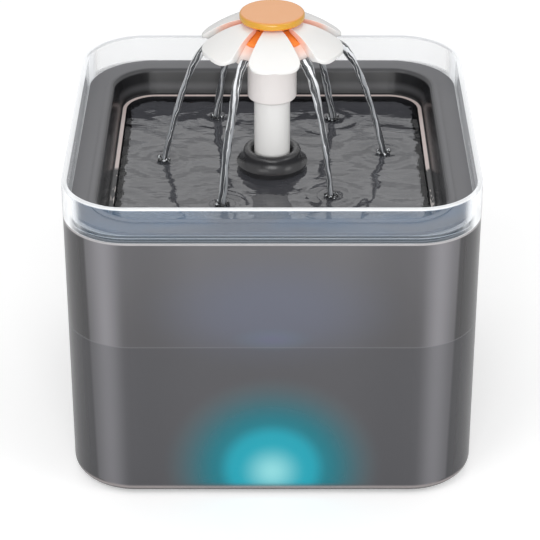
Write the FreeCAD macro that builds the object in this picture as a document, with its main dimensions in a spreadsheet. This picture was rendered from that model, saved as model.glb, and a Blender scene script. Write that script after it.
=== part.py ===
import FreeCAD, Part
import math
import os
import Sketcher

# Pet water fountain: a square translucent tank, a clear splash ring, a drinking tray with a
# flower spout on a riser tube, a filter basket under the tray and a pump on the tank floor.
# Frame: +Z up, origin on the ground under the middle of the tank, the front towards -Y. Millimetres.

PETALS = 6
DRAINS = 6
BASKET_HOLES = 12
BLADES = 4
SLOTS = 5

SIZES = (
    ("tank_width", 180.0, "tank, outside, across its flat sides"),
    ("tank_corner", 29.0, "tank, outside corner radius"),
    ("tank_top", 128.8, "top of the tank's rim above the ground"),
    ("tank_wall", 2.6, "tank wall"),
    ("tank_floor", 3.0, "tank floor"),
    ("tank_round", 5.0, "rounding of the tank's outer bottom edge"),
    ("tank_inner_round", 3.0, "rounding of the tank's inner bottom edge"),
    ("tank_edge", 0.6, "rounding of the tank's rim"),
    ("notch_width", 9.0, "cable notch in the rear rim"),
    ("notch_depth", 8.0, "cable notch in the rear rim"),
    ("foot_lift", 1.0, "height of the tank's underside above the ground"),
    ("foot_recess", 1.2, "depth of the feet's recesses"),
    ("foot_radius", 6.0, "anti-slip foot"),
    ("foot_inset", 26.0, "side of the tank to a foot's centre"),
    ("foot_clearance", 0.1, "foot in its recess"),
    ("lamp_setback", 14.0, "inner front wall to the rim of the lamp"),
    ("lamp_radius", 11.0, "lamp housing"),
    ("lamp_height", 6.0, "lamp housing"),
    ("lamp_wall", 1.5, "lamp housing wall and base"),
    ("lamp_step", 0.8, "width of the lens's seat"),
    ("lamp_seat_depth", 2.0, "lens's seat below the housing's rim"),
    ("lamp_clearance", 0.1, "board and lens in the housing"),
    ("lens_rise", 1.6, "height of the lens above the housing's rim"),
    ("board_thickness", 1.2, "lamp circuit board"),
    ("chip_size", 2.8, "light chip, square"),
    ("chip_height", 0.9, "light chip"),
    ("chip_circle", 4.4, "radius of the circle of light chips"),
    ("ring_height", 16.5, "top of the splash ring above the tank's rim"),
    ("ring_wall", 2.4, "splash ring wall"),
    ("ring_corner_in", 26.6, "splash ring, inside corner radius"),
    ("ring_edge", 0.9, "rounding of the splash ring's rim"),
    ("ring_foot", 0.6, "rounding of the splash ring's lower outer edge"),
    ("flange_height", 2.5, "splash ring's base flange"),
    ("flange_width", 6.5, "splash ring's base flange"),
    ("spigot_depth", 5.0, "splash ring's spigot in the tank"),
    ("spigot_wall", 1.8, "splash ring's spigot"),
    ("spigot_clearance", 0.3, "spigot to the tank wall"),
    ("tray_clearance", 0.6, "tray's rim to the ring's wall"),
    ("tray_corner_ease", 3.4, "how much rounder the tray's corners are than the ring's"),
    ("rim_thickness", 1.5, "tray rim"),
    ("rim_width", 8.0, "flat part of the tray rim"),
    ("lip_width", 3.6, "raised lip round the basin"),
    ("lip_rise", 0.6, "raised lip above the rim"),
    ("lip_corner", 23.0, "lip, corner radius"),
    ("lip_round", 2.0, "rounding from the lip into the basin"),
    ("ledge_round", 1.4, "hollow rounding from the upper wall to the ledge"),
    ("ledge_drop", 11.3, "rim's top to the wet ledge"),
    ("wall_lean", 3.3, "how far the upper wall leans in"),
    ("ledge_width", 2.3, "wet ledge"),
    ("basin_depth", 14.7, "ledge to the basin's floor"),
    ("basin_round", 5.0, "rounding round the basin's floor"),
    ("tray_wall", 1.6, "tray walls and floor"),
    ("weir_radius", 13.0, "weir tube round the riser, inside"),
    ("weir_wall", 1.5, "weir tube"),
    ("weir_height", 12.3, "weir above the basin's floor"),
    ("drain_radius", 1.2, "drain hole inside the weir"),
    ("skirt_depth", 6.5, "basket socket under the tray"),
    ("riser_radius", 8.1, "riser tube, outside"),
    ("riser_wall", 1.6, "riser tube"),
    ("riser_gap", 15.0, "pump's top to the riser's lower end"),
    ("riser_rise", 40.0, "riser's upper end above the tray's rim"),
    ("seal_wall", 1.3, "grommet round the riser in the tray's floor"),
    ("seal_lip", 0.8, "grommet's two lips"),
    ("seat_clearance", 0.05, "pieces seated on each other in one assembly"),
    ("collar_drop", 2.3, "collar's lower edge below the wet ledge"),
    ("collar_height", 10.2, "collar"),
    ("collar_flare", 16.1, "collar's widest radius"),
    ("collar_neck", 13.1, "collar's radius under its top roll"),
    ("collar_roll", 2.0, "radius of the collar's top roll"),
    ("collar_sweep", 6.0, "radius of the collar's hollow side"),
    ("basket_radius", 45.0, "filter basket, outside"),
    ("basket_height", 18.0, "filter basket"),
    ("basket_wall", 1.6, "filter basket"),
    ("basket_gap", 0.3, "basket to the tray's socket"),
    ("basket_bore_gap", 0.6, "basket's centre tube to the riser"),
    ("basket_hole", 3.2, "hole in the basket's floor"),
    ("case_gap", 0.6, "filter cartridge in the basket"),
    ("case_wall", 1.4, "filter cartridge walls"),
    ("case_height", 12.0, "filter cartridge"),
    ("case_divider", 27.0, "radius of the cartridge's divider"),
    ("fleece_thickness", 2.4, "filter fleece"),
    ("sleeve_radius", 10.95, "spout sleeve, outside"),
    ("sleeve_height", 20.0, "spout sleeve"),
    ("sleeve_stop", 2.0, "sleeve's inner stop on the riser's end"),
    ("sleeve_edge", 1.2, "rounding of the sleeve's lower edge"),
    ("slip_fit", 0.08, "radial clearance of the turning and sliding fits"),
    ("pivot_height", 6.0, "pivot tube on the sleeve"),
    ("pivot_wall", 2.1, "pivot tube"),
    ("rest_gap", 0.2, "gap under the flower's neck"),
    ("neck_height", 12.5, "flower's neck"),
    ("petal_root", 10.0, "radius where a petal starts"),
    ("petal_root_width", 6.2, "petal at its root"),
    ("petal_shoulder", 25.0, "radius where a petal is widest"),
    ("petal_width", 23.4, "petal at its widest"),
    ("petal_tip", 32.4, "radius of a petal's tip"),
    ("petal_drop", 12.0, "crown to a petal's tip"),
    ("petal_bulge", 2.2, "arch of a petal over its straight slope"),
    ("petal_thickness", 2.2, "petal"),
    ("crown_gap", 0.6, "hub's cone to the petals"),
    ("hub_radius", 17.8, "flower hub"),
    ("hub_thickness", 1.5, "flower hub"),
    ("hub_droop", 2.2, "fall of the hub's cone"),
    ("valley_radius", 21.5, "lower edge of the channels"),
    ("valley_drop", 7.0, "fall of the channels"),
    ("rib_width", 3.0, "rib that carries a petal"),
    ("boss_radius", 5.4, "hub's socket for the cap"),
    ("stem_radius", 3.4, "cap's stem"),
    ("cap_radius", 14.5, "flower cap"),
    ("cap_thickness", 3.6, "flower cap"),
    ("cap_edge", 1.2, "rounding of the cap's edges"),
    ("cap_gap", 0.4, "cap above the petals"),
    ("cup_radius", 7.0, "suction cup"),
    ("cup_height", 6.0, "tank floor to the pump's underside"),
    ("cup_stem", 2.4, "suction cup's stem"),
    ("cup_stem_length", 3.0, "suction cup's stem in the pump"),
    ("pump_width", 44.0, "pump housing"),
    ("pump_height", 38.0, "pump housing"),
    ("pump_lip", 0.45, "housing's front edge beyond the nozzle's flange"),
    ("pump_rear", 46.0, "outlet's axis to the housing's rear"),
    ("pump_edge", 2.5, "rounding of the housing's upright edges"),
    ("pump_wall", 3.0, "pump housing walls"),
    ("spigot_length", 3.0, "front spigot under the cover"),
    ("chamber_radius", 14.0, "impeller chamber"),
    ("chamber_back", 8.0, "outlet's axis to the chamber's back wall"),
    ("well_radius", 8.4, "rotor well"),
    ("well_wall", 1.1, "rotor well"),
    ("well_depth", 20.0, "rotor well behind the chamber"),
    ("outlet_bore", 4.5, "outlet"),
    ("nozzle_wall", 1.85, "outlet nozzle"),
    ("nozzle_rise", 28.0, "top of the outlet nozzle above the pump"),
    ("nozzle_flange", 1.2, "nozzle's flange on the housing"),
    ("nozzle_flange_height", 2.0, "nozzle's flange on the housing"),
    ("nozzle_root", 3.0, "nozzle in the housing's top wall"),
    ("oring_thickness", 1.6, "O-ring on the nozzle"),
    ("oring_groove", 1.0, "depth of the O-ring's groove"),
    ("oring_drop", 4.0, "nozzle's top to the O-ring"),
    ("leg_height", 10.0, "core's legs"),
    ("leg_gap", 0.3, "rotor well to the core's legs"),
    ("coil_gap", 0.8, "resin between a winding and the housing"),
    ("coil_wall", 2.4, "winding on a core's leg"),
    ("bridge_depth", 6.0, "core's bridge behind its windings"),
    ("resin_cover", 1.5, "resin behind the core"),
    ("shaft_radius", 1.25, "impeller shaft"),
    ("shaft_fit", 0.05, "impeller on its shaft"),
    ("bush_radius", 3.0, "shaft bush"),
    ("bush_length", 3.0, "shaft bush"),
    ("magnet_radius", 7.5, "rotor magnet"),
    ("magnet_gap", 1.0, "rotor magnet from the chamber's back wall"),
    ("magnet_length", 14.0, "rotor magnet"),
    ("wheel_radius", 11.5, "impeller"),
    ("wheel_hub", 3.6, "impeller's hub"),
    ("wheel_length", 12.0, "impeller"),
    ("blade_thickness", 1.4, "impeller blade"),
    ("volute_thickness", 2.0, "impeller chamber's cover"),
    ("inlet_radius", 7.0, "impeller chamber's inlet"),
    ("cover_depth", 13.5, "intake cover in front of the housing's spigot"),
    ("cover_wall", 1.6, "intake cover"),
    ("cover_gap", 0.2, "intake cover on its spigot"),
    ("slot_width", 3.0, "intake slot"),
    ("slot_height", 12.0, "intake slot"),
    ("slot_pitch", 6.5, "between intake slots"),
    ("slot_rise", 7.0, "intake slots above the shaft's height"),
    ("slider_travel", 8.0, "flow slider, from end to end"),
    ("slider_stem", 4.0, "flow slider's stem, along its travel"),
    ("slider_height", 5.0, "flow slider's thumb piece"),
    ("slider_width", 12.0, "flow slider's thumb piece"),
    ("slider_thickness", 1.4, "flow slider's plates"),
    ("slider_gap", 0.2, "flow slider on both faces of the cover"),
    ("slider_drop", 9.0, "flow slider below the shaft's height"),
    ("sponge_gap", 0.8, "sponge in the cover"),
    ("gland_radius", 4.0, "cord gland on the pump's rear"),
    ("gland_length", 6.0, "cord gland"),
    ("gland_bore", 2.2, "cord gland"),
    ("gland_blind", 1.0, "closed inner end of the gland"),
)


class Size:
    """A length that knows its value and the sheet expression that gives it."""

    def __init__(self, value, text):
        self.value = float(value)
        self.text = text

    @staticmethod
    def of(other):
        return other if isinstance(other, Size) else Size(other, repr(float(other)))

    def joined(self, other, sign, value):
        return Size(value, "(%s %s %s)" % (self.text, sign, Size.of(other).text))

    def __add__(self, other):
        return self.joined(other, "+", self.value + Size.of(other).value)

    def __sub__(self, other):
        return self.joined(other, "-", self.value - Size.of(other).value)

    def __mul__(self, other):
        return self.joined(other, "*", self.value * Size.of(other).value)

    def __truediv__(self, other):
        return self.joined(other, "/", self.value / Size.of(other).value)

    def __radd__(self, other):
        return Size.of(other) + self

    def __rsub__(self, other):
        return Size.of(other) - self

    def __rmul__(self, other):
        return Size.of(other) * self

    def __neg__(self):
        return 0.0 - self


def slope_angle(run, rise):
    ratio = run / rise
    return Size(math.degrees(math.atan(ratio.value)), "atan(%s)" % ratio.text)


def build_sheet(doc):
    sheet = doc.addObject("Spreadsheet::Sheet", "Sizes")
    for row, (alias, value, note) in enumerate(SIZES, start=1):
        sheet.set("A%d" % row, note)
        sheet.set("B%d" % row, str(value))
        sheet.setAlias("B%d" % row, alias)
    doc.recompute()
    return sheet


doc = FreeCAD.newDocument("pet_fountain")
sheet = build_sheet(doc)


class Named:
    """The sheet's cells as sizes, by their names."""


s = Named()
for name, value, note in SIZES:
    setattr(s, name, Size(value, "Sizes.%s" % name))

# Heights and radii that several pieces share
tank_half = s.tank_width / 2
tank_inside = s.tank_width - 2 * s.tank_wall
floor_top = s.foot_lift + s.tank_floor
flange_top = s.tank_top + s.flange_height
ring_inside = s.tank_width - 2 * s.ring_wall
tray_width = ring_inside - 2 * s.tray_clearance
rim_top = flange_top + s.rim_thickness
lip_outside = tray_width - 2 * s.rim_width
basin_mouth = lip_outside - 2 * s.lip_width
ledge_top = rim_top - s.ledge_drop
ledge_outside = basin_mouth - 2 * s.wall_lean
ledge_inside = ledge_outside - 2 * s.ledge_width
ledge_corner = s.lip_corner - s.lip_width - s.wall_lean
basin_corner = ledge_corner - s.ledge_width
basin_floor = ledge_top - s.basin_depth
tray_bottom = basin_floor - s.tray_wall
ring_top = s.tank_top + s.ring_height
collar_base = ledge_top - s.collar_drop
riser_top = rim_top + s.riser_rise
seal_bore = s.riser_radius + s.seal_wall
socket_radius = s.basket_radius + s.basket_gap
basket_top = tray_bottom - s.basket_gap
basket_bottom = basket_top - s.basket_height
basket_bore = s.riser_radius + s.basket_bore_gap
case_outer = s.basket_radius - s.basket_wall - s.case_gap
case_inner = basket_bore + s.basket_wall + s.case_gap
case_bottom = basket_bottom + s.basket_wall
riser_bore = s.riser_radius - s.riser_wall
sleeve_bore = s.riser_radius + s.slip_fit
sleeve_top = riser_top + s.sleeve_stop
sleeve_bottom = sleeve_top - s.sleeve_height
pivot_radius = riser_bore + s.pivot_wall
neck_bottom = sleeve_top + s.rest_gap
neck_bore = pivot_radius + s.slip_fit
neck_top = neck_bottom + s.neck_height
hub_top = neck_top + s.hub_thickness
petal_under = hub_top + s.crown_gap
crown_top = petal_under + s.petal_thickness
cap_bottom = crown_top + s.cap_gap
pump_bottom = floor_top + s.cup_height
pump_top = pump_bottom + s.pump_height
riser_bottom = pump_top + s.riser_gap
nozzle_top = pump_top + s.nozzle_rise
shaft_height = pump_bottom + (s.pump_height - s.pump_wall) / 2
nozzle_radius = s.outlet_bore + s.nozzle_wall
flange_radius = nozzle_radius + s.nozzle_flange
housing_front = -(flange_radius + s.pump_lip)
spigot_front = housing_front - s.spigot_length
cover_front = spigot_front - s.cover_depth


def place(item, x=0, y=0, z=0):
    for axis, size in zip("xyz", (x, y, z)):
        item.setExpression("Placement.Base.%s" % axis, Size.of(size).text)
    return item


def bind(item, **properties):
    for name, size in properties.items():
        item.setExpression(name, Size.of(size).text)
    return item


TURNS = {
    "z": FreeCAD.Rotation(),
    "y": FreeCAD.Rotation(FreeCAD.Vector(1, 0, 0), -90),
    "x": FreeCAD.Rotation(FreeCAD.Vector(0, 1, 0), 90),
}


def box(name, x, y, z, length, width, height):
    """A box with its lowest corner at x, y, z."""
    item = doc.addObject("Part::Box", name)
    bind(item, Length=length, Width=width, Height=height)
    return place(item, x, y, z)


def middle_box(name, y, z, length, width, height):
    """A box centred on X = 0."""
    return box(name, -(Size.of(length) / 2), y, z, length, width, height)


def cylinder(name, radius, height, x=0, y=0, z=0, axis="z"):
    item = doc.addObject("Part::Cylinder", name)
    item.Placement.Rotation = TURNS[axis]
    bind(item, Radius=radius, Height=height)
    return place(item, x, y, z)


def boolean(kind, name, **links):
    item = doc.addObject(kind, name)
    for key, value in links.items():
        setattr(item, key, value)
    return item


def fuse(name, *items):
    return boolean("Part::MultiFuse", name, Shapes=list(items))


def cut(name, base, *tools):
    tool = tools[0] if len(tools) == 1 else fuse(name + "_tools", *tools)
    return boolean("Part::Cut", name, Base=base, Tool=tool)


def tube(name, outer, inner, height, x=0, y=0, z=0, axis="z"):
    bore = cylinder(name + "_bore", inner, height, x, y, z, axis)
    return cut(name, cylinder(name + "_bar", outer, height, x, y, z, axis), bore)


def grouped(name, items):
    """Separate like solids that share one node."""
    return boolean("Part::Compound", name, Links=list(items))


def rounded(name, base, chosen, radius):
    """Rounds the edges of a Part shape that the test picks."""
    doc.recompute()
    item = doc.addObject("Part::Fillet", name)
    item.Base = base
    edges = base.Shape.Edges
    item.Edges = [(i + 1, radius.value, radius.value) for i, edge in enumerate(edges) if chosen(edge)]
    return item


def level(height):
    """A test for edges that lie flat at one height."""
    def lies_there(edge):
        low, high = edge.BoundBox.ZMin, edge.BoundBox.ZMax
        return abs(low - height.value) < 1e-4 and abs(high - height.value) < 1e-4
    return lies_there


def level_within(height, half):
    """A test for edges that lie flat at one height, inside an upright square."""
    def lies_there(edge):
        reach = max(max(abs(vertex.X), abs(vertex.Y)) for vertex in edge.Vertexes)
        return level(height)(edge) and reach < half.value + 1e-4
    return lies_there


def new_body(name):
    return doc.addObject("PartDesign::Body", name)


def new_sketch(body, name, role, height=0):
    sketch = body.newObject("Sketcher::SketchObject", name)
    plane = [item for item in body.Origin.OriginFeatures if item.Role == role][0]
    sketch.AttachmentSupport = (plane, [""])
    sketch.MapMode = "FlatFace"
    sketch.setExpression("AttachmentOffset.Base.z", Size.of(height).text)
    return sketch


def constrain(sketch, *arguments, size=None):
    """One constraint, bound to a size where it has one."""
    index = sketch.addConstraint(Sketcher.Constraint(*arguments))
    if size is not None:
        sketch.setExpression("Constraints[%d]" % index, size.text)


def square_sketch(body, name, width, corner, height):
    """A rounded square round the Z axis, at one height."""
    sketch = new_sketch(body, name, "XY_Plane", height)
    half = width.value / 2
    flat = half - corner.value
    ends = [((-flat, -half), (flat, -half)), ((half, -flat), (half, flat)),
            ((flat, half), (-flat, half)), ((-half, flat), (-half, -flat))]
    for start, end in ends:
        line = Part.LineSegment(FreeCAD.Vector(*start, 0), FreeCAD.Vector(*end, 0))
        sketch.addGeometry(line)
    for turn, (x, y) in enumerate([(flat, -flat), (flat, flat), (-flat, flat), (-flat, -flat)]):
        circle = Part.Circle(FreeCAD.Vector(x, y, 0), FreeCAD.Vector(0, 0, 1), corner.value)
        start = math.radians(90.0 * (turn - 1))
        sketch.addGeometry(Part.ArcOfCircle(circle, start, start + math.pi / 2))
    for side in range(4):
        constrain(sketch, "Tangent", side, 2, 4 + side, 1)
        constrain(sketch, "Tangent", 4 + side, 2, (side + 1) % 4, 1)
        constrain(sketch, "Vertical" if side % 2 else "Horizontal", side)
    for arc in (5, 6, 7):
        constrain(sketch, "Equal", 4, arc)
    constrain(sketch, "Symmetric", 4, 3, 6, 3, -1, 1)
    constrain(sketch, "DistanceX", 3, 1, 1, 1, width.value, size=width)
    constrain(sketch, "DistanceY", 0, 1, 2, 1, width.value, size=width)
    constrain(sketch, "Radius", 4, corner.value, size=corner)
    return sketch


def circle_sketch(body, name, radius, height, x=0.0):
    sketch = new_sketch(body, name, "XY_Plane", height)
    x = Size.of(x)
    circle = Part.Circle(FreeCAD.Vector(x.value, 0, 0), FreeCAD.Vector(0, 0, 1), radius.value)
    sketch.addGeometry(circle)
    constrain(sketch, "PointOnObject", 0, 3, -1)
    constrain(sketch, "DistanceX", -1, 1, 0, 3, x.value, size=x)
    constrain(sketch, "Radius", 0, radius.value, size=radius)
    return sketch


def outline_sketch(body, name, points, role="XZ_Plane", height=0, arcs=()):
    """A closed outline through points; arcs maps a side's number to the arc's radius and bend."""
    sketch = new_sketch(body, name, role, height)
    arcs = dict(arcs)
    points = [(Size.of(x), Size.of(y)) for x, y in points]
    corners = [FreeCAD.Vector(x.value, y.value, 0) for x, y in points]
    for side, start in enumerate(corners):
        end = corners[(side + 1) % len(corners)]
        if side in arcs:
            radius, bend = arcs[side]
            chord = end - start
            across = FreeCAD.Vector(-chord.y, chord.x, 0).normalize()
            rise = radius.value - math.sqrt(radius.value ** 2 - (chord.Length / 2) ** 2)
            middle = (start + end) / 2 + across * (rise * bend)
            sketch.addGeometry(Part.Arc(start, middle, end))
        else:
            sketch.addGeometry(Part.LineSegment(start, end))
    bends = {side: bend for side, (radius, bend) in arcs.items()}
    # An arc that bends right runs backwards in a sketch, so its first point is the side's end
    first = [2 if bends.get(side, 1) > 0 and side in bends else 1 for side in range(len(corners))]
    for side in range(len(corners)):
        after = (side + 1) % len(corners)
        constrain(sketch, "Coincident", side, 3 - first[side], after, first[after])
    for side, (x, y) in enumerate(points):
        constrain(sketch, "DistanceX", -1, 1, side, first[side], x.value, size=x)
        constrain(sketch, "DistanceY", -1, 1, side, first[side], y.value, size=y)
    for side, (radius, bend) in arcs.items():
        constrain(sketch, "Radius", side, radius.value, size=radius)
    return sketch


def extrude(body, kind, name, sketch, length, taper=None):
    """A pad, which rises from its sketch, or a pocket, which sinks below it."""
    feature = body.newObject("PartDesign::" + kind, name)
    feature.Profile = sketch
    bind(feature, Length=length)
    if taper is not None:
        bind(feature, TaperAngle=taper)
    return feature


def pad(body, name, sketch, length, taper=None):
    return extrude(body, "Pad", name, sketch, length, taper)


def pocket(body, name, sketch, length, taper=None):
    return extrude(body, "Pocket", name, sketch, length, taper)


def revolve(body, kind, name, sketch):
    """A Revolution or Groove round the sketch's upright axis."""
    feature = body.newObject("PartDesign::" + kind, name)
    feature.Profile = sketch
    feature.ReferenceAxis = (sketch, ["V_Axis"])
    feature.Angle = 360
    return feature


def turned(name, points, arcs=()):
    """A solid of revolution round Z from its half section in X and Z."""
    body = new_body(name)
    revolve(body, "Revolution", name + "_turned", outline_sketch(body, name + "_section", points, arcs=arcs))
    return body


def soften(body, name, base, chosen, radius):
    """Rounds the chosen edges of a body."""
    doc.recompute()
    edges = ["Edge%d" % (i + 1) for i, edge in enumerate(base.Shape.Edges) if chosen(edge)]
    feature = body.newObject("PartDesign::Fillet", name)
    feature.Base = (base, edges)
    return bind(feature, Radius=radius)


def polar(body, name, feature, count):
    pattern = body.newObject("PartDesign::PolarPattern", name)
    pattern.Originals = [feature]
    axis = [item for item in body.Origin.OriginFeatures if item.Role == "Z_Axis"][0]
    pattern.Axis = (axis, [""])
    pattern.Angle = 360
    pattern.Occurrences = count
    body.Tip = pattern
    return pattern


def ring_of(count, radius):
    """Evenly spaced places round the Z axis."""
    for turn in range(count):
        angle = 2 * math.pi * turn / count
        yield radius * math.cos(angle), radius * math.sin(angle)


def corners_of(reach_x, reach_y):
    return [(sx * reach_x, sy * reach_y) for sx in (-1, 1) for sy in (-1, 1)]


def build_tank():
    body = new_body("tank_shell")
    outline = square_sketch(body, "tank_outline", s.tank_width, s.tank_corner, s.foot_lift)
    block = pad(body, "tank_block", outline, s.tank_top - s.foot_lift)
    block = soften(body, "tank_bottom_edge", block, level(s.foot_lift), s.tank_round)
    inside = square_sketch(body, "tank_inside", tank_inside, s.tank_corner - s.tank_wall, s.tank_top)
    hollow = pocket(body, "tank_hollow", inside, s.tank_top - floor_top)
    hollow = soften(body, "tank_inner_edge", hollow, level(floor_top), s.tank_inner_round)
    soften(body, "tank_rim_edge", hollow, level(s.tank_top), s.tank_edge)
    reach = tank_half - s.foot_inset
    recess = s.foot_radius + s.foot_clearance
    seats = [cylinder("foot_seat", recess, s.foot_recess, x, y, s.foot_lift)
             for x, y in corners_of(reach, reach)]
    notch = middle_box("tank_notch", tank_half - 2 * s.tank_wall, s.tank_top - s.notch_depth,
                       s.notch_width, 3 * s.tank_wall, s.notch_depth)
    return cut("tank", body, notch, *seats)


def build_feet():
    reach = tank_half - s.foot_inset
    height = s.foot_lift + s.foot_recess
    return grouped("anti_slip_feet",
                   [cylinder("foot", s.foot_radius, height, x, y, 0) for x, y in corners_of(reach, reach)])


lamp_y = s.lamp_setback + s.lamp_radius - tank_inside / 2
lamp_floor = floor_top + s.lamp_wall
lamp_top = floor_top + s.lamp_height
lens_seat = lamp_top - s.lamp_seat_depth
lens_bore = s.lamp_radius - s.lamp_wall
board_bore = lens_bore - s.lamp_step


def build_lamp():
    shell = cylinder("lamp_shell", s.lamp_radius, s.lamp_height, 0, lamp_y, floor_top)
    well = cylinder("lamp_well", board_bore, s.lamp_height, 0, lamp_y, lamp_floor)
    seat = cylinder("lamp_seat", lens_bore, s.lamp_height, 0, lamp_y, lens_seat)
    housing = cut("lamp_housing", shell, well, seat)
    board = cylinder("lamp_board", board_bore - s.lamp_clearance, s.board_thickness, 0, lamp_y, lamp_floor)
    chip_base = lamp_floor + s.board_thickness
    chips = [box("light_chip", x - s.chip_size / 2, lamp_y + y - s.chip_size / 2, chip_base,
                 s.chip_size, s.chip_size, s.chip_height) for x, y in ring_of(3, s.chip_circle)]
    disc = cylinder("lens_disc", lens_bore - s.lamp_clearance, s.lamp_seat_depth, 0, lamp_y, lens_seat)
    crown = doc.addObject("Part::Cone", "lens_crown")
    bind(crown, Radius1=lens_bore - s.lamp_clearance, Radius2=board_bore - s.lens_rise, Height=s.lens_rise)
    place(crown, 0, lamp_y, lamp_top)
    return [housing, board, grouped("light_chips", chips), fuse("lamp_lens", disc, crown)]


def build_ring():
    body = new_body("ring_shell")
    flange_inside = s.tank_width - 2 * s.flange_width
    flange_corner = s.tank_corner - s.flange_width
    spigot_width = tank_inside - 2 * s.spigot_clearance
    spigot_corner = s.tank_corner - s.tank_wall - s.spigot_clearance
    spigot_bottom = s.tank_top - s.spigot_depth
    outline = square_sketch(body, "ring_outline", s.tank_width, s.tank_corner, s.tank_top)
    block = pad(body, "ring_block", outline, ring_top - s.tank_top)
    soften(body, "ring_foot_edge", block, level(s.tank_top), s.ring_foot)
    spigot = square_sketch(body, "spigot_outline", spigot_width, spigot_corner, spigot_bottom)
    pad(body, "spigot_block", spigot, s.spigot_depth)
    inside = square_sketch(body, "ring_inside", ring_inside, s.ring_corner_in, ring_top)
    hollow = pocket(body, "ring_hollow", inside, ring_top - flange_top)
    soften(body, "ring_rim_edge", hollow, level(ring_top), s.ring_edge)
    mouth = square_sketch(body, "flange_inside", flange_inside, flange_corner, flange_top)
    pocket(body, "flange_hollow", mouth, s.flange_height)
    bore = square_sketch(body, "spigot_inside", spigot_width - 2 * s.spigot_wall,
                         spigot_corner - s.spigot_wall, s.tank_top)
    pocket(body, "spigot_hollow", bore, s.spigot_depth)
    notch = middle_box("ring_notch", tank_half - 3 * s.tank_wall, spigot_bottom,
                       s.notch_width, 4 * s.tank_wall, s.spigot_depth)
    return cut("splash_ring", body, notch)


def build_tray():
    body = new_body("tray_shell")
    lip_top = rim_top + s.lip_rise
    tray_corner = s.ring_corner_in + s.tray_corner_ease
    upper_corner = s.lip_corner - s.lip_width + s.tray_wall
    rim = square_sketch(body, "rim_outline", tray_width, tray_corner, flange_top)
    pad(body, "rim_plate", rim, s.rim_thickness)
    lip = square_sketch(body, "lip_outline", lip_outside, s.lip_corner, flange_top)
    pad(body, "lip_plate", lip, s.rim_thickness + s.lip_rise)
    shoulder = ledge_top - s.tray_wall
    upper = square_sketch(body, "upper_outline", basin_mouth + 2 * s.tray_wall, upper_corner, shoulder)
    pad(body, "upper_basin", upper, flange_top - shoulder)
    lower = square_sketch(body, "lower_outline", ledge_inside + 2 * s.tray_wall,
                          basin_corner + s.tray_wall, tray_bottom)
    base = pad(body, "lower_basin", lower, shoulder - tray_bottom)
    soften(body, "tray_bottom_edge", base, level(tray_bottom), s.basin_round)
    mouth = square_sketch(body, "basin_mouth", basin_mouth, s.lip_corner - s.lip_width, lip_top)
    sloped = lip_top - ledge_top
    upper = pocket(body, "upper_hollow", mouth, sloped, slope_angle(-s.wall_lean, sloped))
    upper = soften(body, "ledge_edge", upper, level(ledge_top), s.ledge_round)
    soften(body, "lip_edge", upper, level_within(lip_top, basin_mouth / 2), s.lip_round)
    inner = square_sketch(body, "basin_inside", ledge_inside, basin_corner, ledge_top)
    hollow = pocket(body, "lower_hollow", inner, s.basin_depth)
    soften(body, "basin_floor_edge", hollow, level(basin_floor), s.basin_round - s.tray_wall)
    weir = circle_sketch(body, "weir_outline", s.weir_radius + s.weir_wall, tray_bottom)
    pad(body, "weir_post", weir, s.tray_wall + s.weir_height)
    weir_inside = circle_sketch(body, "weir_inside", s.weir_radius, basin_floor + s.weir_height)
    pocket(body, "weir_hollow", weir_inside, s.weir_height)
    bore = circle_sketch(body, "seal_bore", seal_bore, basin_floor)
    pocket(body, "floor_bore", bore, s.tray_wall)
    drain_circle = (seal_bore + s.seal_lip + s.weir_radius) / 2
    drain = circle_sketch(body, "drain_outline", s.drain_radius, basin_floor, drain_circle)
    hole = pocket(body, "drain_hole", drain, s.tray_wall)
    polar(body, "drain_holes", hole, DRAINS)
    skirt = tube("basket_socket", socket_radius + s.tray_wall, socket_radius, s.skirt_depth,
                 0, 0, tray_bottom - s.skirt_depth)
    return fuse("tray", body, skirt)


def build_riser():
    riser = tube("riser_tube", s.riser_radius, riser_bore, riser_top - riser_bottom,
                 0, 0, riser_bottom)
    inner = s.riser_radius + s.seat_clearance
    middle = seal_bore - s.seat_clearance
    lip = seal_bore + s.seal_lip
    above = basin_floor + s.seat_clearance
    below = tray_bottom - s.seat_clearance
    seal = turned("riser_seal", [
        (inner, below - s.seal_lip), (lip, below - s.seal_lip), (lip, below), (middle, below),
        (middle, above), (lip, above), (lip, above + s.seal_lip), (inner, above + s.seal_lip)])
    return [riser, seal]


def build_collar():
    inner = s.riser_radius + s.seat_clearance
    top = collar_base + s.collar_height
    roll_in = s.collar_neck - 2 * s.collar_roll
    roll_height = top - s.collar_roll
    skirt_inside = s.weir_radius + s.weir_wall + s.seat_clearance
    flare_height = collar_base + s.collar_height / 3
    ceiling = basin_floor + s.weir_height + s.collar_roll
    return turned("riser_collar", [
        (skirt_inside, collar_base), (s.collar_flare - s.collar_roll / 2, collar_base),
        (s.collar_flare, flare_height), (s.collar_neck, roll_height), (roll_in, roll_height),
        (inner, roll_height - s.collar_roll), (inner, ceiling), (skirt_inside, ceiling)],
        arcs={2: (s.collar_sweep, 1), 3: (s.collar_roll * 1.001, -1)})


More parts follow.
